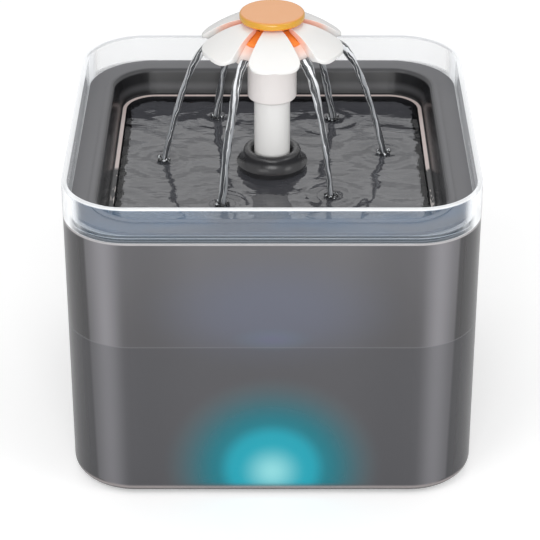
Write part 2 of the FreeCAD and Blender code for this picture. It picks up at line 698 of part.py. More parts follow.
def build_basket():
    body = new_body("basket_shell")
    outline = circle_sketch(body, "basket_outline", s.basket_radius, basket_bottom)
    pad(body, "basket_block", outline, s.basket_height)
    inside = circle_sketch(body, "basket_inside", s.basket_radius - s.basket_wall, basket_top)
    pocket(body, "basket_hollow", inside, s.basket_height - s.basket_wall)
    post = circle_sketch(body, "basket_post_outline", basket_bore + s.basket_wall, basket_bottom)
    pad(body, "basket_post", post, s.basket_height - s.skirt_depth)
    bore = circle_sketch(body, "basket_bore", basket_bore, basket_top)
    pocket(body, "basket_bore_cut", bore, s.basket_height)
    hole_circle = (case_outer + s.case_divider) / 2
    hole = circle_sketch(body, "basket_hole_outline", s.basket_hole, case_bottom, hole_circle)
    first = pocket(body, "basket_hole_cut", hole, s.basket_wall)
    polar(body, "basket_holes", first, BASKET_HOLES)
    body.Label = "filter_basket"
    return body


def build_cartridge():
    bed_bottom = case_bottom + s.case_wall
    bed_height = s.case_height - s.case_wall - s.fleece_thickness
    divider_out = s.case_divider + s.case_wall / 2
    divider_in = s.case_divider - s.case_wall / 2
    wall_out = case_outer - s.case_wall
    wall_in = case_inner + s.case_wall
    plate = tube("case_plate", case_outer, case_inner, s.case_wall, 0, 0, case_bottom)
    seeps = [cylinder("case_seep", s.basket_hole / 2, s.case_wall, x, y, case_bottom)
             for circle in ((wall_out + divider_out) / 2, (wall_in + divider_in) / 2)
             for x, y in ring_of(BASKET_HOLES, circle)]
    grid = cut("case_grid", plate, *seeps)
    outer = tube("case_outer", case_outer, wall_out, s.case_height - s.case_wall, 0, 0, bed_bottom)
    inner = tube("case_inner", wall_in, case_inner, s.case_height - s.case_wall, 0, 0, bed_bottom)
    divider = tube("case_divider_wall", divider_out, divider_in, bed_height, 0, 0, bed_bottom)
    case = fuse("filter_case", grid, outer, inner, divider)
    carbon = tube("carbon_bed", divider_in, wall_in, bed_height, 0, 0, bed_bottom)
    resin = tube("resin_bed", wall_out, divider_out, bed_height, 0, 0, bed_bottom)
    fleece = tube("filter_fleece", wall_out, wall_in, s.fleece_thickness, 0, 0, bed_bottom + bed_height)
    return [case, carbon, resin, fleece]


def build_sleeve():
    bar = cylinder("sleeve_bar", s.sleeve_radius, s.sleeve_height, 0, 0, sleeve_bottom)
    bar = rounded("sleeve_softened", bar, level(sleeve_bottom), s.sleeve_edge)
    pivot = cylinder("sleeve_pivot", pivot_radius, s.pivot_height, 0, 0, sleeve_top)
    socket = cylinder("sleeve_socket", sleeve_bore, s.sleeve_height - s.sleeve_stop, 0, 0, sleeve_bottom)
    bore = cylinder("sleeve_bore", riser_bore, s.sleeve_stop + s.pivot_height, 0, 0, riser_top)
    return cut("spout_sleeve", fuse("sleeve_solid", bar, pivot), socket, bore)


def petal_arch():
    """Radius of the arch from the crown's edge to a petal's tip."""
    run = s.petal_tip - s.petal_root
    chord_squared = run * run + s.petal_drop * s.petal_drop
    return (s.petal_bulge * s.petal_bulge + chord_squared / 4) / (2 * s.petal_bulge)


def build_petals():
    blades = new_body("petal_blades")
    low = crown_top - s.petal_drop - 2 * s.petal_thickness
    half_root = s.petal_root_width / 2
    half_width = s.petal_width / 2
    reach = s.petal_tip - s.petal_shoulder
    tip_radius = (reach * reach + half_width * half_width) / (2 * reach)
    lobe = outline_sketch(blades, "petal_outline", [
        (half_root, -s.petal_root), (-half_root, -s.petal_root),
        (-half_width, -s.petal_shoulder), (half_width, -s.petal_shoulder)],
        role="XY_Plane", height=low, arcs={2: (tip_radius, -1)})
    first = pad(blades, "petal_block", lobe, crown_top - low)
    polar(blades, "petal_blocks", first, PETALS)
    arch = petal_arch()
    tip_height = crown_top - s.petal_drop
    beyond = s.petal_tip + s.petal_thickness
    above = outline_sketch(blades, "over_petals", [
        (s.petal_root, crown_top), (s.petal_tip, tip_height),
        (beyond, tip_height), (beyond, crown_top + s.petal_thickness),
        (s.petal_root, crown_top + s.petal_thickness)], arcs={0: (arch, 1)})
    revolve(blades, "Groove", "petal_tops", above)
    under_tip = tip_height - s.petal_thickness
    below = outline_sketch(blades, "under_petals", [
        (0, low - s.petal_thickness), (beyond, low - s.petal_thickness), (beyond, under_tip),
        (s.petal_tip, under_tip), (s.petal_root, petal_under), (0, petal_under)], arcs={3: (arch, -1)})
    revolve(blades, "Groove", "petal_undersides", below)
    valley_low = hub_under_edge - s.valley_drop
    neck = turned("flower_neck", [
        (neck_bore, neck_bottom), (s.sleeve_radius, neck_bottom),
        (s.sleeve_radius, hub_under_edge - 2 * s.hub_thickness),
        (s.hub_radius, hub_under_edge - 2 * s.hub_thickness),
        (s.valley_radius - s.hub_thickness, valley_low),
        (s.valley_radius, valley_low),
        (s.hub_radius + s.crown_gap, hub_under_edge - s.crown_gap),
        (s.sleeve_radius, hub_under_edge - s.crown_gap), (s.sleeve_radius, neck_top),
        (neck_bore, neck_top)])
    rib_low = hub_under_edge - s.hub_thickness * 2
    rib_start = s.hub_radius + s.crown_gap
    ribs = []
    for turn in range(PETALS):
        rib = box("petal_rib", 0, 0, 0, s.valley_radius - rib_start - s.crown_gap, s.rib_width,
                  petal_under - rib_low)
        angle = 2 * math.pi * (turn + 0.5) / PETALS
        rib.Placement.Rotation = FreeCAD.Rotation(FreeCAD.Vector(0, 0, 1), math.degrees(angle))
        side = s.rib_width / 2
        place(rib, rib_start * math.cos(angle) + side * math.sin(angle),
              rib_start * math.sin(angle) - side * math.cos(angle), rib_low)
        ribs.append(rib)
    shade = boolean("Part::Cut", "ribs_under_petals", Base=fuse("petal_ribs", *ribs), Tool=over_petals())
    return fuse("flower_petals", blades, neck, shade)


def over_petals():
    """The space above the petals, which trims their ribs."""
    body = new_body("space_over_petals")
    lift = s.petal_thickness / 2
    tip_height = crown_top - s.petal_drop - lift
    sketch = outline_sketch(body, "space_section", [
        (s.petal_root, crown_top - lift), (s.petal_tip, tip_height),
        (s.petal_tip, crown_top + lift), (s.petal_root, crown_top + lift)], arcs={0: (petal_arch(), 1)})
    revolve(body, "Revolution", "space_turned", sketch)
    return body


hub_edge = hub_top - s.hub_droop
hub_under_edge = hub_edge - s.hub_thickness


def build_hub():
    inner = neck_bore
    cone = turned("hub_cone", [
        (inner, neck_top), (s.sleeve_radius, neck_top), (s.hub_radius, hub_under_edge),
        (s.hub_radius, hub_edge), (inner, hub_top)])
    boss_bottom = neck_top - s.hub_thickness
    boss_height = crown_top - boss_bottom
    boss = cylinder("hub_boss", s.boss_radius, boss_height, 0, 0, boss_bottom)
    bore = cylinder("hub_socket", s.stem_radius + s.slip_fit, boss_height, 0, 0, boss_bottom)
    arms = []
    for turn in range(3):
        arm = box("hub_arm", 0, 0, 0, inner + s.hub_thickness, s.hub_thickness, s.hub_thickness / 2)
        angle = 2 * math.pi * turn / 3
        arm.Placement.Rotation = FreeCAD.Rotation(FreeCAD.Vector(0, 0, 1), math.degrees(angle))
        side = s.hub_thickness / 2
        place(arm, side * math.sin(angle), -(side * math.cos(angle)), neck_top)
        arms.append(arm)
    return cut("flower_hub", fuse("hub_solid", cone, boss, *arms), bore)


def build_cap():
    disc = cylinder("cap_disc", s.cap_radius, s.cap_thickness, 0, 0, cap_bottom)
    disc = rounded("cap_softened", disc, lambda edge: level(cap_bottom)(edge)
                   or level(cap_bottom + s.cap_thickness)(edge), s.cap_edge)
    stem_length = cap_bottom - neck_top
    stem = cylinder("cap_stem", s.stem_radius, stem_length + s.cap_edge, 0, 0, neck_top)
    return fuse("flower_cap", disc, stem)


spigot_inset = s.cover_wall + s.cover_gap
well_end = s.chamber_back + s.well_depth
island = s.well_radius + s.well_wall
cavity_front = s.chamber_back + s.pump_wall
cavity_width = s.pump_width - 2 * s.pump_wall
cavity_height = s.pump_height - 2 * s.pump_wall
cavity_bottom = pump_bottom + s.pump_wall
leg_in = island + s.leg_gap
leg_out = cavity_width / 2 - s.coil_gap - s.coil_wall
leg_width = leg_out - leg_in
core_back = s.pump_rear - s.resin_cover
volute_front = spigot_front + s.seat_clearance


def build_housing():
    block = middle_box("housing_block", housing_front, pump_bottom, s.pump_width,
                       s.pump_rear - housing_front, s.pump_height)
    doc.recompute()
    upright = [i + 1 for i, edge in enumerate(block.Shape.Edges)
               if edge.BoundBox.ZLength > s.pump_height.value / 2]
    soft = doc.addObject("Part::Fillet", "housing_softened")
    soft.Base = block
    soft.Edges = [(i, s.pump_edge.value, s.pump_edge.value) for i in upright[:4]]
    spigot = middle_box("housing_spigot", spigot_front, pump_bottom + spigot_inset,
                        s.pump_width - 2 * spigot_inset, s.spigot_length + s.pump_edge,
                        s.pump_height - 2 * spigot_inset)
    chamber = cylinder("chamber", s.chamber_radius, s.chamber_back - spigot_front,
                       0, spigot_front, shaft_height, "y")
    well = cylinder("rotor_well", s.well_radius, s.well_depth, 0, s.chamber_back, shaft_height, "y")
    cavity = middle_box("motor_cavity", cavity_front, cavity_bottom, cavity_width,
                        s.pump_rear - cavity_front, cavity_height)
    wall = cylinder("well_wall_bar", island, well_end + s.well_wall - s.chamber_back,
                    0, s.chamber_back, shaft_height, "y")
    outlet = cylinder("outlet_hole", s.outlet_bore, s.pump_height, 0, 0, shaft_height)
    seat = cylinder("nozzle_seat", nozzle_radius + s.seat_clearance, s.nozzle_root, 0, 0,
                    pump_top - s.nozzle_root)
    gland = cylinder("gland_seat", s.gland_radius + s.seat_clearance, s.resin_cover,
                     0, core_back, gland_height, "y")
    cups = [cylinder("cup_seat", s.cup_stem + s.seat_clearance, s.cup_stem_length,
                     x, cup_middle + y, pump_bottom) for x, y in corners_of(cup_x, cup_y)]
    shell = cut("housing_shell", fuse("housing_solid", soft, spigot), cavity, *cups)
    walled = fuse("housing_walled", shell, wall)
    return cut("pump_housing", walled, chamber, well, outlet, seat, gland)


gland_height = cavity_bottom + cavity_height - s.gland_radius - s.pump_wall
cup_x = s.pump_width / 2 - s.cup_radius - s.pump_wall
cup_y = (s.pump_rear - housing_front) / 2 - s.cup_radius - s.pump_wall
cup_middle = (s.pump_rear + housing_front) / 2


def build_motor():
    """Core, windings and resin behind the rotor well, and the gland in the resin."""
    leg_bottom = shaft_height - s.leg_height / 2
    leg_front = cavity_front + s.resin_cover
    bridge_front = core_back - s.bridge_depth
    legs = [box("core_leg", x, leg_front, leg_bottom, leg_width, core_back - leg_front, s.leg_height)
            for x in (leg_in, -leg_out)]
    bridge = middle_box("core_bridge", bridge_front, leg_bottom, 2 * leg_out, s.bridge_depth, s.leg_height)
    core = fuse("stator_core", bridge, *legs)
    coil_front = well_end + s.well_wall + s.leg_gap
    coil_length = bridge_front - coil_front
    coils = []
    for side in (1, -1):
        low = leg_in if side > 0 else -leg_out
        around = box("coil_block", low - s.coil_wall, coil_front, leg_bottom - s.coil_wall,
                     leg_width + 2 * s.coil_wall, coil_length, s.leg_height + 2 * s.coil_wall)
        through = box("coil_hole", low, coil_front, leg_bottom, leg_width, coil_length, s.leg_height)
        coils.append(cut("stator_coil", around, through))
    windings = grouped("stator_coils", coils)
    block = middle_box("resin_block", cavity_front, cavity_bottom, cavity_width,
                       s.pump_rear - cavity_front, cavity_height)
    wall = cylinder("resin_well", island, well_end + s.well_wall - s.chamber_back,
                    0, s.chamber_back, shaft_height, "y")
    fills = [box("coil_space", low - s.coil_wall, coil_front, leg_bottom - s.coil_wall,
                 leg_width + 2 * s.coil_wall, coil_length, s.leg_height + 2 * s.coil_wall)
             for low in (leg_in, -leg_out)]
    socket = cylinder("resin_gland", s.gland_radius + s.seat_clearance, s.resin_cover,
                      0, core_back, gland_height, "y")
    resin = cut("motor_resin", block, wall, core, socket, *fills)
    bar = cylinder("gland_bar", s.gland_radius, s.resin_cover + s.gland_length,
                   0, core_back, gland_height, "y")
    bore = cylinder("gland_hole", s.gland_bore, s.gland_length, 0,
                    core_back + s.gland_blind, gland_height, "y")
    return [core, windings, resin, cut("cord_gland", bar, bore)]


def build_nozzle():
    top = nozzle_top
    bottom = pump_top - s.nozzle_root
    bar = cylinder("nozzle_bar", nozzle_radius, top - bottom, 0, 0, bottom)
    flange = cylinder("nozzle_flange_disc", flange_radius, s.nozzle_flange_height, 0, 0, pump_top)
    bore = cylinder("nozzle_hole", s.outlet_bore, top - bottom, 0, 0, bottom)
    groove_z = top - s.oring_drop
    floor = nozzle_radius - s.oring_groove
    groove = tube("oring_groove_cut", nozzle_radius + s.oring_groove, floor,
                  s.oring_thickness + 2 * s.seat_clearance, 0, 0, groove_z - s.seat_clearance)
    nozzle = cut("outlet_nozzle", fuse("nozzle_solid", bar, flange), bore, groove)
    oring = tube("nozzle_oring", riser_bore - s.seat_clearance, floor, s.oring_thickness, 0, 0, groove_z)
    return [nozzle, oring]


def build_rotor():
    shaft_front = volute_front
    shaft_back = well_end
    shaft = cylinder("impeller_shaft", s.shaft_radius, shaft_back - shaft_front,
                     0, shaft_front, shaft_height, "y")
    front_bush = tube("front_bush", s.bush_radius, s.shaft_radius, s.bush_length,
                      0, shaft_front, shaft_height, "y")
    back_bush = tube("back_bush", s.bush_radius, s.shaft_radius, s.bush_length,
                     0, shaft_back - s.bush_length, shaft_height, "y")
    bore = s.shaft_radius + s.shaft_fit
    magnet_front = s.chamber_back + s.magnet_gap
    magnet = tube("rotor_magnet", s.magnet_radius, bore, s.magnet_length, 0, magnet_front, shaft_height, "y")
    wheel_front = magnet_front - s.wheel_length - s.magnet_gap
    hub = cylinder("wheel_hub_bar", s.wheel_hub, magnet_front - wheel_front,
                   0, wheel_front, shaft_height, "y")
    blades = []
    for turn in range(BLADES // 2):
        span = [2 * s.wheel_radius, s.blade_thickness]
        wide, tall = span if turn % 2 == 0 else span[::-1]
        blades.append(box("wheel_blade", -(wide / 2), wheel_front, shaft_height - tall / 2,
                          wide, s.wheel_length, tall))
    hole = cylinder("wheel_hole", bore, magnet_front - wheel_front, 0, wheel_front, shaft_height, "y")
    wheel = cut("impeller", fuse("wheel_solid", hub, *blades), hole)
    return [shaft, grouped("shaft_bushes", [front_bush, back_bush]), magnet, wheel]


def build_volute():
    disc = tube("volute_disc", s.chamber_radius - s.seat_clearance, s.inlet_radius,
                s.volute_thickness, 0, volute_front, shaft_height, "y")
    boss = cylinder("volute_boss", s.bush_radius + s.volute_thickness / 2, s.volute_thickness,
                    0, volute_front, shaft_height, "y")
    arm = middle_box("volute_arm", volute_front, shaft_height - s.volute_thickness / 2,
                     2 * s.inlet_radius + s.volute_thickness, s.volute_thickness, s.volute_thickness)
    hole = cylinder("volute_hole", s.bush_radius, s.volute_thickness, 0, volute_front, shaft_height, "y")
    return cut("volute_cover", fuse("volute_solid", disc, boss, arm), hole)


slider_height = shaft_height - s.slider_drop


def build_cover():
    depth = housing_front - cover_front
    shell = middle_box("cover_block", cover_front, pump_bottom, s.pump_width, depth, s.pump_height)
    hollow = middle_box("cover_hollow", cover_front + s.cover_wall, pump_bottom + s.cover_wall,
                        s.pump_width - 2 * s.cover_wall, depth, s.pump_height - 2 * s.cover_wall)
    slots = [middle_box("intake_slot", cover_front, shaft_height + s.slot_rise - s.slot_height / 2,
                        s.slot_width, s.cover_wall, s.slot_height) for turn in range(SLOTS)]
    for turn, slot in enumerate(slots):
        place(slot, (turn - (SLOTS - 1) / 2) * s.slot_pitch - s.slot_width / 2, cover_front,
              shaft_height + s.slot_rise - s.slot_height / 2)
    window = s.slider_travel + s.slider_stem + 2 * s.slider_gap
    track = middle_box("slider_track", cover_front, slider_height - s.slider_stem / 2 - s.slider_gap,
                       window, s.cover_wall, s.slider_stem + 2 * s.slider_gap)
    return cut("intake_cover", shell, hollow, track, *slots)


shutter_back = cover_front + s.cover_wall + s.slider_gap + s.slider_thickness


def build_slider():
    plate_bottom = slider_height - s.slider_height / 2
    thumb = middle_box("slider_thumb", cover_front - s.slider_gap - s.slider_thickness, plate_bottom,
                       s.slider_width, s.slider_thickness, s.slider_height)
    stem = middle_box("slider_stem_bar", cover_front - s.slider_gap, slider_height - s.slider_stem / 2,
                      s.slider_stem, s.cover_wall + 2 * s.slider_gap, s.slider_stem)
    shutter = middle_box("slider_shutter", shutter_back - s.slider_thickness, plate_bottom,
                         s.slider_width, s.slider_thickness, s.slider_height)
    return fuse("flow_slider", thumb, stem, shutter)


def build_sponge():
    front = shutter_back + s.sponge_gap
    back = spigot_front - s.slider_gap
    inset = s.cover_wall + s.slider_gap
    return middle_box("intake_sponge", front, pump_bottom + inset, s.pump_width - 2 * inset,
                      back - front, s.pump_height - 2 * inset)


def build_cups():
    cups = []
    for x, y in corners_of(cup_x, cup_y):
        bell = doc.addObject("Part::Cone", "cup_bell")
        bind(bell, Radius1=s.cup_radius, Radius2=s.cup_stem * 1.5, Height=s.cup_height)
        place(bell, x, cup_middle + y, floor_top)
        stem = cylinder("cup_stem_bar", s.cup_stem, s.cup_height + s.cup_stem_length,
                        x, cup_middle + y, floor_top)
        cups.append(fuse("suction_cup", bell, stem))
    return grouped("suction_cups", cups)


NODES = [
    build_tank(), build_feet(), *build_lamp(), build_ring(), build_tray(), *build_riser(),
    build_collar(), build_basket(), *build_cartridge(), build_sleeve(), build_petals(),
    build_hub(), build_cap(), build_housing(), *build_motor(), *build_nozzle(), *build_rotor(),
    build_volute(), build_cover(), build_slider(), build_sponge(), build_cups(),
]

doc.recompute()
failed = [item.Label for item in doc.Objects if {"Invalid", "Error"} & set(item.State)]
if failed:
    raise RuntimeError("failed objects: %s" % ", ".join(failed))

os.makedirs("parts", exist_ok=True)
for node in NODES:
    shape = node.Shape
    if shape.isNull() or not shape.isValid():
        raise RuntimeError("bad shape: %s" % node.Label)
    shape.exportStep("parts/%s.step" % node.Label)
    box_mm = shape.BoundBox
    print("%-16s %2d solids  z %6.1f to %6.1f  volume %9.1f" % (
        node.Label, len(shape.Solids), box_mm.ZMin, box_mm.ZMax, shape.Volume))
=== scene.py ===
import math
import random

import bpy
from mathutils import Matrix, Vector


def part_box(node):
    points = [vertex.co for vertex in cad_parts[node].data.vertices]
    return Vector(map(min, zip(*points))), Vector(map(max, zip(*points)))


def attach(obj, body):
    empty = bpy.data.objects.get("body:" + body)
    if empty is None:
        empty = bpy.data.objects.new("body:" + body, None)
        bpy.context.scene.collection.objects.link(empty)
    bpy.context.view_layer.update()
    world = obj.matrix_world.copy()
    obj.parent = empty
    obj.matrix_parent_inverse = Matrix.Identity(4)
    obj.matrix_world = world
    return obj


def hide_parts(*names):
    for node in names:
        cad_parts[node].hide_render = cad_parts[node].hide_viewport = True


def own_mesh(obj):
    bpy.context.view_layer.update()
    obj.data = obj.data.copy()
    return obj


# The finishes, the flower, the water and the studio of a square pet water fountain.
# Metres, +Z up, the front towards -Y. Lengths written with MM are millimetres.

bl_info = {
    "name": "Pet Fountain",
    "version": (1, 0, 0),
    "blender": (4, 5, 0),
    "location": "3D View > Sidebar > Fountain",
    "description": "Dresses a square pet water fountain with its finishes, flower, water and studio",
    "category": "Object",
}

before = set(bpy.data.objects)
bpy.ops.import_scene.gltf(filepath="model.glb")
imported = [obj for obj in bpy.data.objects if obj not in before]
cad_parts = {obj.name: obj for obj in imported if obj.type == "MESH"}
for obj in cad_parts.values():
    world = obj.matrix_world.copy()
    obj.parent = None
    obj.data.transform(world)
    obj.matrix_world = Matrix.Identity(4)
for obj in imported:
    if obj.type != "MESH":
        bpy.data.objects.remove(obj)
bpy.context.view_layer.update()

MM = 0.001
PETALS = 6
PETAL_STEP = 2 * math.pi / PETALS
FRONT = -math.pi / 2
BLACK = (0, 0, 0, 1)
WHITE = (1, 1, 1, 1)
CLEAR_PLASTIC_IOR = 1.49
WATER_IOR = 1.333

# The CAD nodes that the shapes and masks below take their places from.
tank_low, tank_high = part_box("tank")
petals_low, petals_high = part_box("flower_petals")
ring_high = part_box("splash_ring")[1]
tray_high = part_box("tray")[1]
sleeve_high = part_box("spout_sleeve")[1]
lamp_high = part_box("lamp_lens")[1]
LAMP_GLOW = Vector((0, tank_low.y, lamp_high.z + 3 * MM))
FLANGE_TOP = tank_high.z + 2.5 * MM
RIM_TOP = tray_high.z - 0.6 * MM
LEDGE_TOP = RIM_TOP - 11.3 * MM
TRAY_STRAIGHT = 57 * MM

# The studio: each lamp's name, place, width in metres and power in watts.
LAMPS = (
    ("key_light", (-0.55, -0.75, 1.15), 0.5, 2.6),
    ("fill_light", (0.9, -0.5, 0.9), 0.5, 1.9),
    ("front_light", (0.0, -1.5, 0.45), 0.9, 13.0),
    ("back_light", (0.0, 0.9, 1.0), 0.9, 1.6),
)
LAMP_AIM = Vector((0, 0, 90 * MM))
FLOOR_REACH = 3.0
FLOOR_LIFT = 0.30
WORLD_LIGHT = 0.6
WORLD_SHINE = 0.25

# The camera that was fitted to the photo, whose frame is square. Pixels, metres and radians.
PHOTO_SIDE = 540
FOCAL_PIXELS = 2155
PHOTO_AIM = (272.1, 224.6)
CAMERA_AIM = Vector((0, 0, 88.8 * MM))
CAMERA_DISTANCE = 1.0
CAMERA_ELEVATION = math.radians(28.75)
SENSOR_WIDTH = 36.0


def srgb(red, green, blue):
    """A colour given as 0 to 255 screen values, as the linear colour that shaders take."""
    def linear(part):
        part = part / 255
        return part / 12.92 if part <= 0.04045 else ((part + 0.055) / 1.055) ** 2.4
    return (linear(red), linear(green), linear(blue), 1.0)


def panel_length(name, description, default):
    """A length, as a property that the panel shows."""
    return bpy.props.FloatProperty(name=name, description=description, default=default, unit="LENGTH")


def panel_colour(name, description, *screen):
    """A colour given as 0 to 255 screen values, as a property that the panel shows."""
    return bpy.props.FloatVectorProperty(
        name=name, description=description, subtype="COLOR", size=4, default=srgb(*screen))


class FountainSizes(bpy.types.PropertyGroup):
    tray_water: panel_length("Tray water", "Height of the water in the drinking tray", LEDGE_TOP - 1.5 * MM)
    tank_water: panel_length("Tank water", "Height of the water in the tank", tank_high.z - 51 * MM)
    basin_half: panel_length("Basin", "Half the width of the basin at the water's surface", 69.8 * MM)
    basin_corner: panel_length("Basin corner", "Corner radius of the basin at the water's surface", 13.6 * MM)
    ripple_height: panel_length("Ripples", "Height of the rings round each landing stream", 0.45 * MM)
    stream_width: panel_length("Stream width", "Width of a stream where it leaves the flower", 4.4 * MM)


class FountainColours(bpy.types.PropertyGroup):
    smoke: panel_colour("Tank", "Smoke grey of the tank", 88, 87, 90)
    charcoal: panel_colour("Tray", "Dark grey of the tray and collar", 105, 105, 108)
    white: panel_colour("Flower", "White of the flower and riser", 243, 242, 240)
    orange: panel_colour("Cap", "Orange of the cap and hub", 240, 138, 56)
    glow: panel_colour("Lamp", "Teal of the lamp", 0, 170, 190)


class Wire:
    """A socket in a node tree's maths: an expression on wires adds its Math nodes."""

    def __init__(self, nodes, socket):
        self.nodes = nodes
        self.socket = socket

    def __add__(self, other):
        return self.nodes.maths("ADD", self, other)

    def __radd__(self, other):
        return self.nodes.maths("ADD", other, self)

    def __sub__(self, other):
        return self.nodes.maths("SUBTRACT", self, other)

    def __rsub__(self, other):
        return self.nodes.maths("SUBTRACT", other, self)

    def __mul__(self, other):
        return self.nodes.maths("MULTIPLY", self, other)

    def __pow__(self, other):
        return self.nodes.maths("POWER", self, other)

    def __abs__(self):
        return self.nodes.maths("ABSOLUTE", self)

    def least(self, other):
        return self.nodes.maths("MINIMUM", self, other)

    def most(self, other):
        return self.nodes.maths("MAXIMUM", self, other)

    def sine(self):
        return self.nodes.maths("SINE", self)

    def rise(self, low, high):
        """0 below low, 1 above high, smooth between; falls instead where high is under low."""
        node = self.nodes.node("ShaderNodeMapRange", {"interpolation_type": "SMOOTHSTEP"},
                               {"Value": self, "From Min": low, "From Max": high})
        return self.nodes.wire(node, "Result")

    def band(self, middle, width):
        """1 at the middle, falling to 0 at that distance from it."""
        return abs(self - middle).rise(width, 0)


class Nodes:
    """The node tree of a material or a world. One method adds all its nodes."""

    def __init__(self, owner):
        owner.use_nodes = True
        self.tree = owner.node_tree
        self.tree.nodes.clear()

    def node(self, kind, settings=None, inputs=None):
        """Adds a node: its settings first, then its sockets' values or links."""
        node = self.tree.nodes.new(kind)
        for name, value in (settings or {}).items():
            setattr(node, name, value)
        for name, value in (inputs or {}).items():
            self.feed(self.socket(node, name), value)
        return node

    @staticmethod
    def socket(node, name):
        """A node's input by its place or by its identifier, since several may share a name."""
        if isinstance(name, int):
            return node.inputs[name]
        return next(socket for socket in node.inputs if socket.identifier == name)

    def feed(self, socket, value):
        """Links a wire or another node's output to a socket, or sets the socket's value."""
        if isinstance(value, Wire):
            value = value.socket
        if isinstance(value, bpy.types.NodeSocket):
            self.tree.links.new(value, socket)
        else:
            socket.default_value = value

    def wire(self, node, output):
        return Wire(self, node.outputs[output])

    def maths(self, operation, *values):
        return self.wire(self.node("ShaderNodeMath", {"operation": operation}, dict(enumerate(values))), 0)

    def vectors(self, operation, *values):
        """A Vector Math node's outputs."""
        return self.node("ShaderNodeVectorMath", {"operation": operation}, dict(enumerate(values))).outputs

    def parts(self, vector):
        """The X, Y and Z of a vector."""
        node = self.node("ShaderNodeSeparateXYZ", {}, {"Vector": vector})
        return [Wire(self, output) for output in node.outputs]


class Finish(Nodes):
    """One procedural material round a Principled shader."""

    def __init__(self, name, roughness, **values):
        self.material = bpy.data.materials.new(name)
        super().__init__(self.material)
        self.shader = self.node("ShaderNodeBsdfPrincipled")
        self.output = self.node("ShaderNodeOutputMaterial", {}, {"Surface": self.shader.outputs[0]})
        self.set({"Roughness": roughness, **values})
        self.coordinates = None

    def set(self, values):
        for name, value in values.items():
            self.feed(self.shader.inputs[name], value)
        return self

    def place(self):
        """The point on the piece, in metres in the object's own frame."""
        if self.coordinates is None:
            self.coordinates = self.node("ShaderNodeTexCoord").outputs["Object"]
        return self.coordinates

    def axes(self):
        return self.parts(self.place())

    def along(self):
        """The piece's own two surface directions: round it and along it."""
        return self.parts(self.node("ShaderNodeTexCoord").outputs["UV"])[:2]

    def normal(self):
        """The direction that the surface faces."""
        return self.parts(self.node("ShaderNodeNewGeometry").outputs["Normal"])

    def upward(self):
        """The upward part of the surface's direction."""
        return self.normal()[2]

    def corner(self):
        """How far the surface's direction is turned from a flat side's: 0 on a side, 0.71 at mid corner."""
        x, y = self.normal()[:2]
        return abs(x).least(abs(y))

    def facing(self):
        """0 where the surface faces the eye, 1 where it is seen edge on."""
        return self.wire(self.node("ShaderNodeLayerWeight", {}, {"Blend": 0.5}), "Facing")

    def distance(self, point, stretch=(1, 1, 1)):
        """Distance from a point, in metres, along axes that may be stretched."""
        moved = self.vectors("SUBTRACT", self.place(), tuple(point))[0]
        scaled = self.vectors("MULTIPLY", moved, stretch)[0]
        return Wire(self, self.vectors("LENGTH", scaled)["Value"])

    def from_axis(self):
        """Distance from the object's upright axis, in metres."""
        x, y = self.axes()[:2]
        return (x * x + y * y) ** 0.5

    def from_middle(self, x, y):
        """How far out a point is, in squares whose rounded corners share the tray's centres."""
        side, deep = (abs(x) - TRAY_STRAIGHT).most(0), (abs(y) - TRAY_STRAIGHT).most(0)
        return (side ** 2 + deep ** 2) ** 0.5 + TRAY_STRAIGHT

    def noise(self, size, detail, roughness=0.5, stretch=(1, 1, 1)):
        """Noise whose features are about that many metres wide."""
        spread = self.vectors("MULTIPLY", self.place(), tuple(part / size for part in stretch))[0]
        node = self.node("ShaderNodeTexNoise", {}, {
            "Vector": spread, "Scale": 1.0, "Detail": detail, "Roughness": roughness})
        return self.wire(node, "Fac")

    def cells(self, size):
        """Grains about that many metres wide: a shade for each, and the distance from its middle."""
        node = self.node("ShaderNodeTexVoronoi", {"feature": "F1"},
                         {"Vector": self.place(), "Scale": 1 / size})
        return self.wire(node, "Color"), self.wire(node, "Distance")

    def waves(self, size, direction, profile="SIN"):
        """Even bands about that many metres apart."""
        node = self.node("ShaderNodeTexWave", {"bands_direction": direction, "wave_profile": profile},
                         {"Vector": self.place(), "Scale": 0.314 / size})
        return self.wire(node, "Fac")

    def mixed(self, factor, first, second):
        node = self.node("ShaderNodeMix", {"data_type": "RGBA"},
                         {"Factor_Float": factor, "A_Color": first, "B_Color": second})
        # its outputs are a number, a vector, a colour and a rotation
        return self.wire(node, 2)

    def layered(self, colour, layers):
        """A colour under further ones, each of them laid over it through its mask."""
        for mask, over in layers:
            colour = self.mixed(mask, colour, over)
        return colour

    def bump(self, height, distance, strength):
        node = self.node("ShaderNodeBump", {}, {"Height": height, "Distance": distance, "Strength": strength})
        return self.set({"Normal": node.outputs[0]})

    def patterned(self, mask, dark, light, depth=0.0, strength=0.0):
        """Colours the piece from dark to light by a mask, which is also its relief where a depth is given."""
        self.set({"Base Color": self.mixed(mask, dark, light)})
        return self.bump(mask, depth, strength) if depth else self


def shade(colour, factor):
    return tuple(part * factor for part in colour[:3]) + (1.0,)


def sizes():
    return bpy.context.scene.fountain_sizes


def colours():
    return bpy.context.scene.fountain_colours


def dress(finish, *names):
    """Gives CAD nodes a finish."""
    for name in names:
        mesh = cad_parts[name].data
        mesh.materials.clear()
        mesh.materials.append(finish.material)


def moulded(name, colour, roughness, grain=0.25, mottle=0.06):
    """Injection-moulded plastic: a fine grain, faint mottling and uneven gloss."""
    finish = Finish(name, roughness)
    cloud = finish.noise(14 * MM, 3)
    finish.patterned(cloud, shade(colour, 1 - mottle), shade(colour, 1 + mottle))
    finish.set({"Roughness": cloud * 0.08 + (roughness - 0.04)})
    return finish.bump(finish.noise(0.5 * MM, 2), 0.02 * MM, grain)


